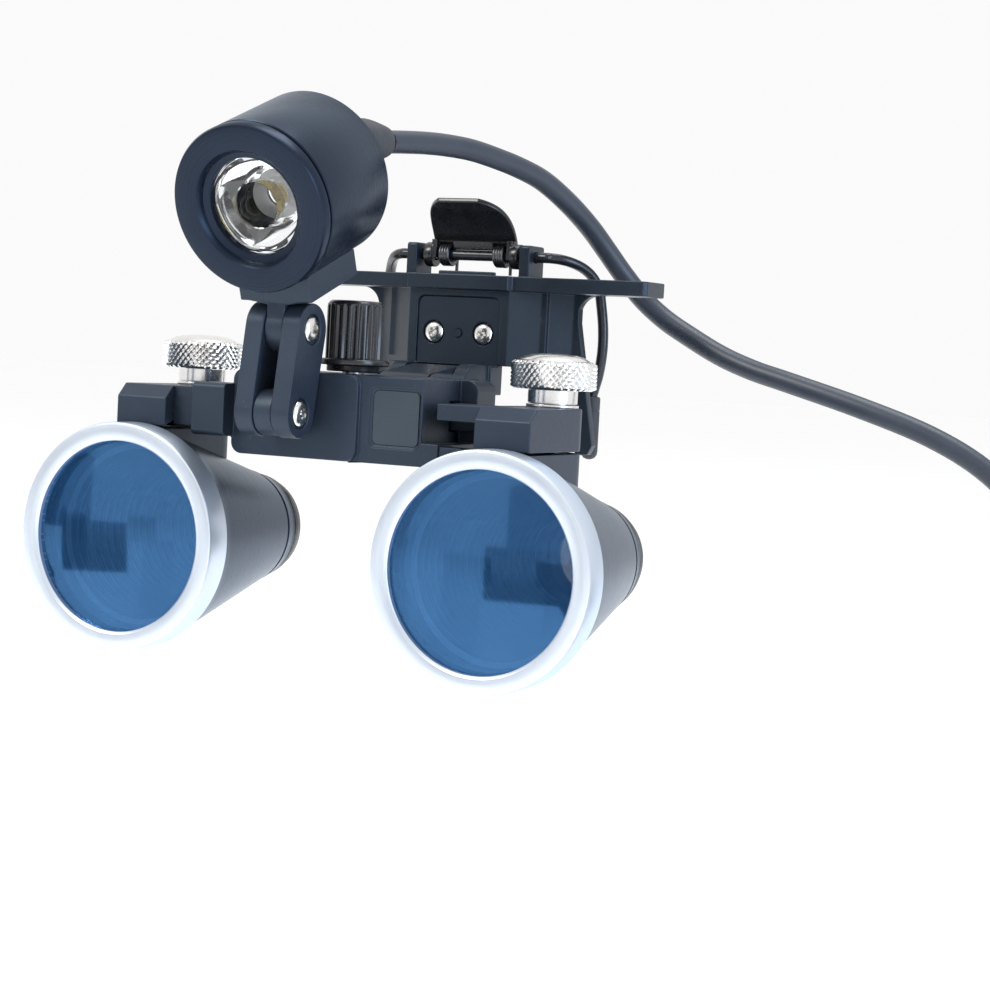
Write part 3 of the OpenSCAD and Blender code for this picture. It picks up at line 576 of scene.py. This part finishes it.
blueFinish = coatedGlass("blue_glass", {
    "dark": (0.032, 0.135, 0.34, 1), "light": (0.055, 0.19, 0.42, 1),
    "metal": 0.75, "index": 1.7, "cover": 0.46,
})
eyeFinish = coatedGlass("eye_glass", {
    "dark": (0.10, 0.20, 0.34, 1), "light": (0.16, 0.28, 0.42, 1),
    "metal": 0.3, "index": 1.6, "cover": 0.55,
})


def clearPlastic(name):
    finish = Finish(name)
    cloud = finish.noise(finish.place(), 200, 3)
    return finish.done({
        "Base Color": finish.between(cloud, (0.93, 0.95, 0.97, 1), (0.98, 0.98, 0.98, 1)),
        "Roughness": 0.02 + cloud * 0.03,
        "Transmission Weight": 1.0,
        "IOR": 1.49,
    })


def phosphor(name):
    finish = Finish(name)
    cloud = finish.noise(finish.place(), 1500, 3)
    return finish.done({
        "Base Color": finish.between(cloud, (0.62, 0.46, 0.12, 1), (0.86, 0.70, 0.26, 1)),
        "Roughness": 0.4 + cloud * 0.15,
        "Normal": finish.relief(cloud, 0.02),
    })


opticFinish = clearPlastic("clear_optic")
ledFinish = phosphor("led_yellow")
print("finishes made")


hand(cord, "lamp", "cord_pvc", cordFinish, "cord_lead", "cord_hank")


# barrels

barrelPlan = {
    "ring": [
        (13.4, 0.35), (13.7, 0.05), (13.85, 0), (15.55, 0), (15.88, 0.12), (16, 0.45),
        (16, 4.15), (15.85, 4.3), (14.4, 4.3), (14.4, 1), (13.4, 1),
    ],
    "tube": [
        (14.4, 3), (14.4, 4.45), (15.35, 4.45), (15.5, 4.62), (15.42, 4.8), (15.05, 6.9),
        (8.9, 31.8), (8.72, 31.9), (8.66, 32.4), (8.78, 32.5), (8.05, 35.3), (7.9, 35.5),
        (6.4, 35.5), (6.8, 32.5), (13.2, 5.6), (13.2, 3),
    ],
    "lens": [(14.4, 1)] + [(13.4 * (1 - k / 9), 1 - 0.45 * (1 - (1 - k / 9) ** 2)) for k in range(10)],
    "lensBack": [(13.2 * k / 6, 3 + 1.6 * (1 - (k / 6) ** 2)) for k in range(7)] + [(14.4, 3)],
    "eyeLens": [
        (0, 36.7), (1.6, 36.62), (3, 36.4), (4.6, 36), (5.9, 35.5), (6.3, 35.5), (6.3, 37.4),
        (5.9, 37.4), (3, 37.2), (0, 37.1),
    ],
    "eyeRing": [
        (6.3, 35.5), (7.9, 35.5), (8, 35.62), (8, 36.2), (7.85, 36.4), (7.45, 36.7), (7.4, 37.9),
        (7.2, 38.2), (6.9, 38.3), (5.75, 38.3), (5.6, 38.1), (5.6, 37.4), (6.3, 37.4),
    ],
    "coneFront": (15.6, 4.6),
    "coneBack": (8, 35.5),
}


def coneRadius(plan, along):  # the tube's outer radius
    (wide, front), (narrow, back) = plan["coneFront"], plan["coneBack"]
    return wide - (along - front) * (wide - narrow) / (back - front)


def makeBarrel(plan, side, sign):
    centre = at(sign * sideX, 0, 0)
    ring = turnProfile(side + "Ring", plan["ring"], centre, steps=128)
    hand(ring, side + "_barrel", "satin_ring", ringFinish, side + "_ring")
    tube = turnProfile(side + "Tube", plan["tube"], centre, steps=128)
    hand(tube, side + "_barrel", "black_anodised", anodisedFinish, side + "_tube")
    lens = turnProfile(side + "Lens", plan["lens"] + plan["lensBack"], centre, steps=96)
    hand(lens, side + "_barrel", "blue_glass", blueFinish, side + "_objective")
    edges = []
    for k in range(linerPlan["steps"]):
        along = linerPlan["start"] + k * linerPlan["pitch"]
        outer = coneRadius(plan, along) - linerPlan["gap"]
        edges += [(outer - 0.9, along), (outer - 0.85, along + 0.25)]
        edges += [(outer - 0.4, along + 0.4), (outer - 0.45, along + 1.15)]
    for along in (linerPlan["start"] + linerPlan["steps"] * linerPlan["pitch"], linerPlan["start"]):
        edges.append((coneRadius(plan, along) - linerPlan["gap"], along))
    liner = turnProfile(side + "Liner", edges, centre, steps=72)
    hand(liner, side + "_barrel", "baffle_black", paintedEdgeBaffleFinish, side + "_baffle")
    eyeLens = turnProfile(side + "EyeLens", plan["eyeLens"], centre, closed=False, steps=64)
    hand(eyeLens, side + "_barrel", "clear_optic", eyeFinish, side + "_eye_lens")
    eyeRing = turnProfile(side + "EyeRing", plan["eyeRing"], centre, steps=72)
    hand(eyeRing, side + "_barrel", "gloss_black", glossFinish, side + "_eye_ring")


makeBarrel(barrelPlan, "left", -1)
makeBarrel(barrelPlan, "right", 1)
print("barrels made")


# thumb screws

thumbPlan = {
    "ridges": 38,
    "rows": 12,
    "bandRadius": 5.52,
    "bandRise": 0.38,
    "crossDrop": 0.2,
    "bandLow": 24.15,
    "bandHigh": 27.35,
    "under": [(0.6, 21.9), (3.25, 21.9), (3.4, 22.05), (3.4, 23.75), (3.55, 23.85), (5.3, 23.85)],
    "over": [
        (5.45, 27.66), (5.15, 27.78), (4.95, 27.78), (4.7, 27.98), (4.1, 28.3), (3.1, 28.55),
        (1.8, 28.7), (0.6, 28.75),
    ],
}


def makeThumbScrew(plan, centre):
    up = Vector((0, 0, 1))
    clearSelection()
    low = plan["under"][0]
    bpy.ops.mesh.primitive_circle_add(
        vertices=4 * plan["ridges"], radius=low[0] * mm, fill_type="NGON", location=centre + up * low[1] * mm)
    piece = nameMade("leftThumbScrew")
    bakePlace(piece)
    bpy.ops.object.mode_set(mode="EDIT")
    bpy.ops.mesh.select_all(action="SELECT")
    height = plan["bandHigh"] - plan["bandLow"]
    heights = [plan["bandLow"] + height * k / plan["rows"] for k in range(plan["rows"] + 1)]
    band = [(plan["bandRadius"], z) for z in heights]
    growRings(plan["under"] + band + plan["over"], centre, up)
    pitch = math.pi / 2 / plan["ridges"]  # four corners to a ridge

    def onSpiral(co, slant, shares, least=-0.05):
        spot = (co - centre) / mm
        row = (spot.z - plan["bandLow"]) / height * plan["rows"]
        raised = math.hypot(spot.x, spot.y) - plan["bandRadius"]
        if not -0.1 < row < plan["rows"] + 0.1 or raised < least:
            return False
        return (round(row) * slant + round(math.atan2(spot.y, spot.x) / pitch)) % 4 in shares

    pickVertices(piece, lambda co: onSpiral(co, -1, (0, 1)))
    rise = 1 + plan["bandRise"] / plan["bandRadius"]
    bpy.ops.transform.resize(value=(rise, rise, 1), center_override=centre)
    pickVertices(piece, lambda co: onSpiral(co, 1, (0,), 0.1))
    drop = 1 - plan["crossDrop"] / plan["bandRadius"]
    bpy.ops.transform.resize(value=(drop, drop, 1), center_override=centre)
    doneEditing()
    cleanUp(piece, 0.0000005)
    smoothShade(piece, 26)
    return piece


thumbLeft = makeThumbScrew(thumbPlan, at(-sideX, 20.3, 0))
thumbRight = copyPiece(thumbLeft, "rightThumbScrew", (2 * sideX * mm, 0, 0))
hand(thumbLeft, "left_screw", "nickel_knob", knobFinish, "left_thumb_screw")
hand(thumbRight, "right_screw", "nickel_knob", knobFinish, "right_thumb_screw")
print("thumb screws made")


# ribbed knob that sets the spacing

spacingKnobPlan = {
    "ribs": 22,
    "ribDepth": 0.34,
    "low": 26.6,
    "high": 33.7,
    "under": [
        (1.6, 24.7), (3.55, 24.7), (3.7, 24.85), (3.7, 25.55), (4.85, 25.6), (5, 25.75), (5, 26.3),
        (4.85, 26.45), (3.95, 26.5),
    ],
    "ribRadius": 3.95,
    "over": [(3.9, 34.05), (3.65, 34.4), (3.3, 34.58), (2.6, 34.6), (2.45, 34.45), (0.5, 34.42)],
}


def makeSpacingKnob(plan, centre):
    up = Vector((0, 0, 1))
    clearSelection()
    low = plan["under"][0]
    bpy.ops.mesh.primitive_circle_add(
        vertices=4 * plan["ribs"], radius=low[0] * mm, fill_type="NGON", location=centre + up * low[1] * mm)
    piece = nameMade("spacingKnob")
    bakePlace(piece)
    bpy.ops.object.mode_set(mode="EDIT")
    bpy.ops.mesh.select_all(action="SELECT")
    radius = plan["ribRadius"]
    growRings(plan["under"] + [(radius, plan["low"]), (radius, plan["high"])] + plan["over"], centre, up)

    def inGroove(co):
        spot = (co - centre) / mm
        outside = math.hypot(spot.x, spot.y) > radius - 0.15
        if not plan["low"] - 0.05 < spot.z < plan["high"] + 0.05 or not outside:
            return False
        return round(math.atan2(spot.y, spot.x) / (math.pi / 2 / plan["ribs"])) % 4 in (0, 1)

    pickVertices(piece, inGroove)
    share = 1 - plan["ribDepth"] / radius
    bpy.ops.transform.resize(value=(share, share, 1), center_override=centre)
    doneEditing()
    cleanUp(piece, 0.0000005)
    roundEdges(piece, 0.05, 2, 40)
    smoothShade(piece, 40)
    return piece


spacingKnob = makeSpacingKnob(spacingKnobPlan, at(0, 15, 0))
hand(spacingKnob, "knob", "gloss_black", glossFinish, "spacing_knob")
print("spacing knob made")


# cross-head screws

screwPlan = {
    "headRadius": 1.7,
    "headHeight": 0.85,
    "slotLong": 1.22,
    "slotWide": 0.33,
    "slotDeep": 0.6,
}


def makeCrossScrew(plan):
    radius, height = plan["headRadius"], plan["headHeight"]
    head = turnProfile("crossScrew", [
        (0, -1), (1, -1), (1, 0), (radius - 0.05, 0), (radius, 0.08), (radius, height * 0.42),
        (radius * 0.9, height * 0.72), (radius * 0.68, height * 0.92), (radius * 0.4, height), (0, height),
    ], Vector((0, 0, 0)), (0, 0, 1), closed=False, steps=40)
    middle = Vector((0, 0, (height + 0.4) * mm))
    slot = (2 * plan["slotLong"], 2 * plan["slotWide"], 2 * (plan["slotDeep"] + 0.4))
    for angle in (0, math.pi / 2):
        clearSelection()
        bpy.ops.mesh.primitive_cube_add(size=mm, location=middle)
        cutter = nameMade("cutter")
        bpy.ops.object.mode_set(mode="EDIT")
        bpy.ops.mesh.select_all(action="SELECT")
        bpy.ops.transform.resize(value=slot, center_override=middle)
        pickVertices(cutter, lambda co: co.z < 0)
        bpy.ops.transform.resize(value=(0.45, 0.7, 1), center_override=middle)
        bpy.ops.mesh.select_all(action="SELECT")
        bpy.ops.transform.rotate(value=angle, orient_axis="Z", center_override=(0, 0, 0))
        doneEditing()
        bakePlace(cutter)
        cleanUp(cutter)
        pickOnly(head)
        cut = head.modifiers.new("slot", "BOOLEAN")
        cut.operation = "DIFFERENCE"
        cut.object = cutter
        bpy.ops.object.modifier_apply(modifier=cut.name)
        bpy.data.objects.remove(cutter)
    smoothShade(head, 35)
    return head


crossScrew = makeCrossScrew(screwPlan)
screwPlaces = [  # name, head's seat, way the head faces, head radius, turn, body, CAD nodes
    ("leftBaseScrew", (-4.2, 46.75, 31.1), (0, -1, 0), 1.55, 25, "clip", ("base_screws",)),
    ("rightBaseScrew", (4.2, 46.75, 31.1), (0, -1, 0), 1.55, 62, "clip", ("base_screws",)),
    ("flipScrewHead", (6.6, 40, 22.5), (1, 0, 0), 1.8, 15, "clip", ("flip_screw",)),
    ("flipScrewEnd", (-6.4, 40, 22.5), (-1, 0, 0), 1.6, 40, "clip", ("flip_screw",)),
    ("tiltScrewHead", (7.75, 31.5, 21.5), (1, 0, 0), 1.6, 50, "link", ("tilt_screw",)),
    ("tiltScrewEnd", (-6.85, 31.5, 21.5), (-1, 0, 0), 1.2, 5, "link", ("tilt_screw",)),
    ("upperArmScrew", (-1.7, 5.7, 30.2), (1, 0, 0), 1.75, 35, "arm", ("arm_screws",)),
    ("lowerArmScrew", (-1.7, 3.6, 18.75), (1, 0, 0), 1.75, 70, "arm", ("arm_screws",)),
    ("upperArmEnd", (-8.9, 5.7, 30.2), (-1, 0, 0), 1.1, 12, "arm", ("arm_screws",)),
    ("lowerArmEnd", (-8.9, 3.6, 18.75), (-1, 0, 0), 1.1, 48, "arm", ("arm_screws",)),
]
for name, seat, facing, radius, turn, body, nodes in screwPlaces:
    screw = copyPiece(crossScrew, name, (0, 0, 0))
    share = radius / screwPlan["headRadius"]
    aim = Vector((0, 0, 1)).rotation_difference(Vector(facing)).to_matrix().to_4x4()
    spin = Matrix.Rotation(math.radians(turn), 4, "Z") @ Matrix.Diagonal((share, share, 1, 1))
    screw.matrix_world = Matrix.Translation(at(*seat)) @ aim @ spin
    bakePlace(screw)
    hand(screw, body, "nickel_screws", screwFinish, *nodes)
bpy.data.objects.remove(crossScrew)
print("screws made")


# lamp

lampPlan = {
    "bezel": [
        (7.8, 0.45), (8.1, 0.08), (8.4, 0), (11.05, 0), (11.4, 0.12), (11.6, 0.5), (11.6, 1.75),
        (11.45, 1.9), (9.8, 1.9), (9.8, 3.2), (6.7, 3.2), (6.7, 1.5), (7.0, 1.35), (7.55, 1.1),
    ],
    "shell": [
        (9.8, 1.95), (11.2, 1.95), (11.2, 2.35), (11.45, 2.4), (11.6, 2.55), (11.6, 17.75), (11.45, 18),
        (10.2, 18.1), (10.2, 3.2), (9.8, 3.2),
    ],
    "back": [
        (0, 16.8), (10.2, 16.8), (10.2, 18.1), (11.3, 18.1), (11.2, 18.4), (10.9, 18.7), (7.2, 18.7),
        (7.0, 18.55), (0, 18.55),
    ],
    "sink": [(0, 13.6), (10.2, 13.6), (10.2, 14.8), (4, 14.8), (4, 16.75), (0, 16.75)],
    "board": [(0, 12.6), (9.3, 12.6), (9.4, 12.7), (9.4, 13.5), (9.3, 13.6), (0, 13.6)],
    "optic": [
        (0, 7.3), (1.4, 7.15), (2.5, 6.8), (3, 6.4), (3.1, 2.35), (3.25, 2.2), (6.55, 2.2),
        (6.7, 2.35), (6.7, 3.4),
    ],
    "well": [(2.4, 12), (2.4, 9.6), (1.7, 9.2), (0, 9.0)],
}


def inLamp(x, y, z):  # a place in the lamp's own frame, with y back along its axis
    turned = Matrix.Rotation(lampPitch, 3, "X") @ Vector((x, y, z))
    return at(*(lampFace + turned))


lampAxis = Matrix.Rotation(lampPitch, 3, "X") @ Vector((0, 1, 0))
flare = [(3.4 + 3.3 * (k / 8) ** 0.6, 12 - 8.6 * k / 8) for k in range(7, -1, -1)]
optic = lampPlan["optic"] + flare + lampPlan["well"]
lampParts = [
    ("lampBezel", lampPlan["bezel"], True, "lamp_bezel", lampFinish, "black_anodised"),
    ("lampShell", lampPlan["shell"], True, "lamp_shell", lampFinish, "black_anodised"),
    ("lampBack", lampPlan["back"], False, "lamp_back", lampFinish, "black_anodised"),
    ("lampSink", lampPlan["sink"], False, "lamp_heat_sink", sinkFinish, "bare_aluminium"),
    ("lampBoard", lampPlan["board"], False, "lamp_board", boardFinish, "white_board"),
    ("lampOptic", optic, False, "lamp_optic", opticFinish, "clear_optic"),
]
for name, points, closed, node, finish, slotName in lampParts:
    part = turnProfile(name, points, inLamp(0, 0, 0), lampAxis, closed, 112)
    hand(part, "lamp", slotName, finish, node)

glandPlan = {
    "start": (0.9, 10, 56.1),
    "end": (3.2, 16, 56.7),
    "rings": [
        (0, 0), (3.2, 0), (3.2, 2.1), (3.05, 2.25), (3.05, 2.5), (3.1, 2.65), (2.9, 3.5), (2.75, 3.6),
        (2.75, 4), (2.5, 4.8), (2.3, 5.4), (2.1, 5.9), (1.95, 6.15), (1.75, 6.3), (0, 6.3),
    ],
}
glandStart, glandEnd = at(*glandPlan["start"]), at(*glandPlan["end"])
gland = turnProfile("cordGland", glandPlan["rings"], glandStart, glandEnd - glandStart, False, 40)
hand(gland, "lamp", "soft_rubber", rubberFinish, "cord_gland")
print("lamp made")


# clamp

clampPlan = {
    "arm": [
        (10.6, 50.5, 43), (12.2, 50.7, 43), (13.8, 51.5, 42.9), (15.3, 52.9, 42.5), (16.6, 54.6, 41.7),
        (17.6, 56, 40.4), (18.3, 56.8, 38.6), (18.7, 57, 36.4), (19.2, 57, 33), (19.3, 57, 29.5),
        (18.9, 57, 26), (18.3, 57, 23.6), (18, 57, 22), (18, 57, 18), (18, 57, 14.2),
    ],
    "wireRadius": 0.8,
    "tipPlace": (18, 57, 22.5),
    "tip": [
        (0, 0.5), (0.85, 0.05), (1.1, 0), (1.3, 0.25), (1.3, 2), (1.22, 2.15), (1.3, 2.3), (1.3, 8.3),
        (1.2, 8.9), (0.85, 9.35), (0.4, 9.55), (0, 9.6),
    ],
    "paddle": [
        (51.2, 43.9), (50.6, 45.4), (49.7, 46.9), (48.4, 48.4), (46.8, 49.7), (45.2, 50.5), (43.95, 50.95),
    ],
    "paddleHalf": 7.0,
    "paddleThick": 0.8,
    "tipMiddle": 50.2,
    "sleevesTop": 45.3,
    "axle": (50.5, 43),
    "springMiddle": 4.6,
    "springHalf": 0.85,
    "springTurns": 4,
    "springRadius": 1.5,
    "springWire": 0.26,
}


def solidTube(name, line, radius, corners=3):
    tube = makeTube(name, line, radius, corners)
    pickOnly(tube)
    bpy.ops.object.convert(target="MESH")
    smoothShade(tube, 50)
    return tube


leftArm = [(-x, y, z) for x, y, z in reversed(clampPlan["arm"])]
wire = solidTube("clampWire", smoothLine(leftArm + clampPlan["arm"]), clampPlan["wireRadius"], 4)
hand(wire, "clamp", "black_wire", wireFinish, "clamp_wire")

for sign in (-1, 1):
    x, y, z = clampPlan["tipPlace"]
    name = "tipLeft" if sign < 0 else "tipRight"
    tip = turnProfile(name, clampPlan["tip"], at(sign * x, y, z), (0, 0, -1), False, 32)
    hand(tip, "clamp", "soft_rubber", rubberFinish, "rubber_tips")


def makePaddle(plan):
    # a strip carried back along the curve, narrowed to a round tip
    clearSelection()
    half = plan["paddleHalf"]
    first = plan["paddle"][0]
    size = 2 * half * mm
    bpy.ops.mesh.primitive_grid_add(x_subdivisions=8, y_subdivisions=1, size=size, location=at(0, *first))
    piece = nameMade("clampPaddle")
    bakePlace(piece)
    bpy.ops.object.mode_set(mode="EDIT")
    pickVertices(piece, lambda co: co.y > at(0, *first).y)
    bpy.ops.mesh.delete(type="VERT")
    bpy.ops.mesh.select_all(action="SELECT")
    bpy.ops.transform.translate(value=(0, half * mm, 0))
    width = half
    for before, after in zip(plan["paddle"], plan["paddle"][1:]):
        step = at(0, *after) - at(0, *before)
        bpy.ops.mesh.extrude_region_move(TRANSFORM_OT_translate={"value": step})
        ahead = max(0, plan["tipMiddle"] - after[0])
        nextWidth = math.sqrt(max(half ** 2 - ahead ** 2 * 0.95, 1.5))
        share = nextWidth / width
        bpy.ops.transform.resize(value=(share, 1, 1), center_override=at(0, *after))
        width = nextWidth
    doneEditing()
    cleanUp(piece)
    pickOnly(piece)
    wall = piece.modifiers.new("thickness", "SOLIDIFY")
    wall.thickness = plan["paddleThick"] * mm
    wall.offset = 0
    bpy.ops.object.modifier_apply(modifier=wall.name)
    roundEdges(piece, 0.2, 2, 40)
    soft = piece.modifiers.new("soft", "SUBSURF")
    soft.levels = soft.render_levels = 2
    bpy.ops.object.modifier_apply(modifier=soft.name)
    smoothShade(piece, 60)
    return piece


paddle = makePaddle(clampPlan)
hand(paddle, "clamp", "gloss_black", glossFinish, "clamp_paddle")
grip = softenNode("clamp_paddle", 0.12, 2, 35)
grip.name = "paddleSleeves"
editing(grip)
cut = at(0, 0, clampPlan["sleevesTop"])
bpy.ops.mesh.bisect(plane_co=cut, plane_no=(0, 0, 1), use_fill=True, clear_outer=True)
doneEditing()
hand(grip, "clamp", "gloss_black", glossFinish, "clamp_paddle")



def springLine(plan, sign):
    middle, half, radius = sign * plan["springMiddle"], plan["springHalf"], plan["springRadius"]
    y, z = plan["axle"]
    count = plan["springTurns"] * 24
    line = []
    for k in range(count + 1):
        a = k * math.pi / 12
        x = middle - half + 2 * half * k / count
        line.append(at(x, y + radius * math.cos(a), z + radius * math.sin(a)))
    return line + [at(middle + half, y + radius, z - drop) for drop in (0.8, 1.8, 2.8)]


for sign in (-1, 1):
    name = "springLeft" if sign < 0 else "springRight"
    spring = solidTube(name, springLine(clampPlan, sign), clampPlan["springWire"], 2)
    hand(spring, "clip", "spring_steel", springFinish, "torsion_springs")
print("clamp made")


# moulded parts: the CAD shapes with their edges broken

mouldedParts = [  # node, edge width, body, slot, finish
    ("clip_frame", 0.16, "clip", "black_plastic", blackFinish),
    ("hinge_base", 0.16, "clip", "slate_plastic", blackFinish),
    ("hinge_link", 0.2, "link", "slate_plastic", blackFinish),
    ("centre_housing", 0.18, "carriage", "slate_plastic", slateFinish),
    ("rack_cover", 0.1, "carriage", "grey_plastic", greyFinish),
    ("left_rack", 0.12, "left_slide", "slate_plastic", slateFinish),
    ("right_rack", 0.12, "right_slide", "slate_plastic", slateFinish),
    ("left_carrier", 0.2, "left_slide", "slate_plastic", slateFinish),
    ("right_carrier", 0.2, "right_slide", "slate_plastic", slateFinish),
    ("left_foot", 0.12, "left_barrel", "black_anodised", slateFinish),
    ("right_foot", 0.12, "right_barrel", "black_anodised", slateFinish),
    ("lamp_arm", 0.18, "arm", "slate_plastic", slateFinish),
    ("lamp_foot", 0.18, "lamp", "black_anodised", slateFinish),
    ("left_washer", 0.06, "left_slide", "nickel_knob", knobFinish),
    ("right_washer", 0.06, "right_slide", "nickel_knob", knobFinish),
]
for node, width, body, slotName, finish in mouldedParts:
    hand(softenNode(node, width), body, slotName, finish, node)
print("moulded parts finished")


# plug and tie

plugPlan = {
    "top": (104.4, 50.6, -53.5),
    "cover": [
        (0, 0), (1.9, 0), (2.15, 0.2), (2.3, 1), (2.1, 1.2), (2.1, 1.7), (2.5, 1.9), (2.65, 2.8),
        (2.4, 3), (2.4, 3.5), (2.85, 3.7), (3, 4.6), (2.8, 4.8), (2.8, 5.3), (3.2, 5.5), (3.4, 7),
        (4.1, 7.1), (4.5, 7.6), (4.5, 20.3), (4.2, 20.9), (3.6, 21), (0, 21),
    ],
    "barrel": [
        (0, 21), (2.6, 21), (2.75, 21.15), (2.75, 28.6), (2.6, 28.7), (2.6, 28.9), (2.75, 29),
        (2.75, 30.1), (2.5, 30.5), (1.3, 30.5), (1.05, 30.3), (1.05, 22), (0, 22),
    ],
}
plugTop = at(*plugPlan["top"])
plugCover = turnProfile("plugCover", plugPlan["cover"], plugTop, (0, 0, -1), False, 56)
hand(plugCover, "lamp", "soft_rubber", rubberFinish, "plug_cover")
plugBarrel = turnProfile("plugBarrel", plugPlan["barrel"], plugTop, (0, 0, -1), False, 48)
hand(plugBarrel, "lamp", "nickel_screws", screwFinish, "plug_barrel")
cordTie = softenNode("cord_tie", 0.3, 3)
hand(cordTie, "lamp", "soft_rubber", rubberFinish, "cord_tie")

plainNodes = {
    "lamp_led": ledFinish, "locating_pin": blackFinish, "pinion": steelFinish,
    "left_stud": steelFinish, "right_stud": steelFinish,
}
for node, finish in plainNodes.items():
    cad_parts[node].data.materials.clear()
    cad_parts[node].data.materials.append(finish)

# studio

studio = {
    "floorPlace": (0, 0, cadLow.z - 0.004),
    "floorSize": 12.0,
    "floorDark": (0.94, 0.94, 0.94, 1),
    "floorLight": (0.96, 0.96, 0.96, 1),
    "worldStrength": 0.96,
}
clearSelection()
bpy.ops.mesh.primitive_grid_add(
    x_subdivisions=12, y_subdivisions=12, size=studio["floorSize"], location=studio["floorPlace"])
floor = nameMade("floor")
floorFinish = Finish("paper")
floorCloud = floorFinish.noise(floorFinish.place(), 3, 2)
floor.data.materials.append(floorFinish.done({
    "Base Color": floorFinish.between(floorCloud, studio["floorDark"], studio["floorLight"]),
    "Roughness": 0.9,
    "Emission Color": (1, 1, 1, 1),
    "Emission Strength": 0.05,
}))


def addCard(name, place, towards, width, height, colour):
    # a flat card that shows only in reflections
    clearSelection()
    bpy.ops.mesh.primitive_plane_add(size=1, location=place)
    card = nameMade(name)
    card.scale = (width, height, 1)
    card.rotation_euler = (Vector(towards) - Vector(place)).to_track_quat("Z", "Y").to_euler()
    finish = Finish(name)
    card.data.materials.append(finish.done({"Base Color": colour, "Roughness": 0.9}))
    card.visible_camera = card.visible_diffuse = card.visible_shadow = False


def addSoftbox(name, place, towards, size, power, colour):
    bpy.ops.object.light_add(type="AREA", location=place)
    lamp = bpy.context.object
    lamp.name = name
    lamp.data.shape = "RECTANGLE"
    lamp.data.size, lamp.data.size_y = size
    lamp.data.energy = power
    lamp.data.color = colour
    lamp.rotation_euler = (Vector(towards) - Vector(place)).to_track_quat("-Z", "Y").to_euler()


centre = (0, -0.03, -0.01)
addSoftbox("keyBox", (-0.45, -0.75, 0.75), centre, (0.4, 0.4), 7, (1.0, 0.99, 0.96))
addSoftbox("rightBox", (0.95, -0.25, 0.25), centre, (0.4, 0.6), 6, (0.55, 0.74, 1.0))
addSoftbox("topBox", (0.1, 0.1, 0.9), centre, (0.5, 0.5), 5, (0.95, 0.98, 1.0))
for name, place, width, height, colour in [
        ("nearCard", (-0.175, -0.62, -0.088), 0.13, 0.062, (0.03, 0.05, 0.08, 1)),
        ("leftCard", (-0.385, -0.50, -0.092), 0.09, 0.055, (0.03, 0.05, 0.08, 1)),
        ("farCard", (-0.33, -1.15, 0.10), 0.22, 0.44, (0.10, 0.14, 0.20, 1)),
        ("sideCard", (-0.80, -0.85, 0.02), 0.20, 0.28, (0.12, 0.16, 0.22, 1))]:
    addCard(name, place, centre, width, height, colour)

world = bpy.data.worlds.new("studio")
bpy.context.scene.world = world
world.use_nodes = True
background = world.node_tree.nodes["Background"]
background.inputs["Color"].default_value = (1, 1, 1, 1)
background.inputs["Strength"].default_value = studio["worldStrength"]
bpy.context.scene.view_settings.view_transform = "Standard"
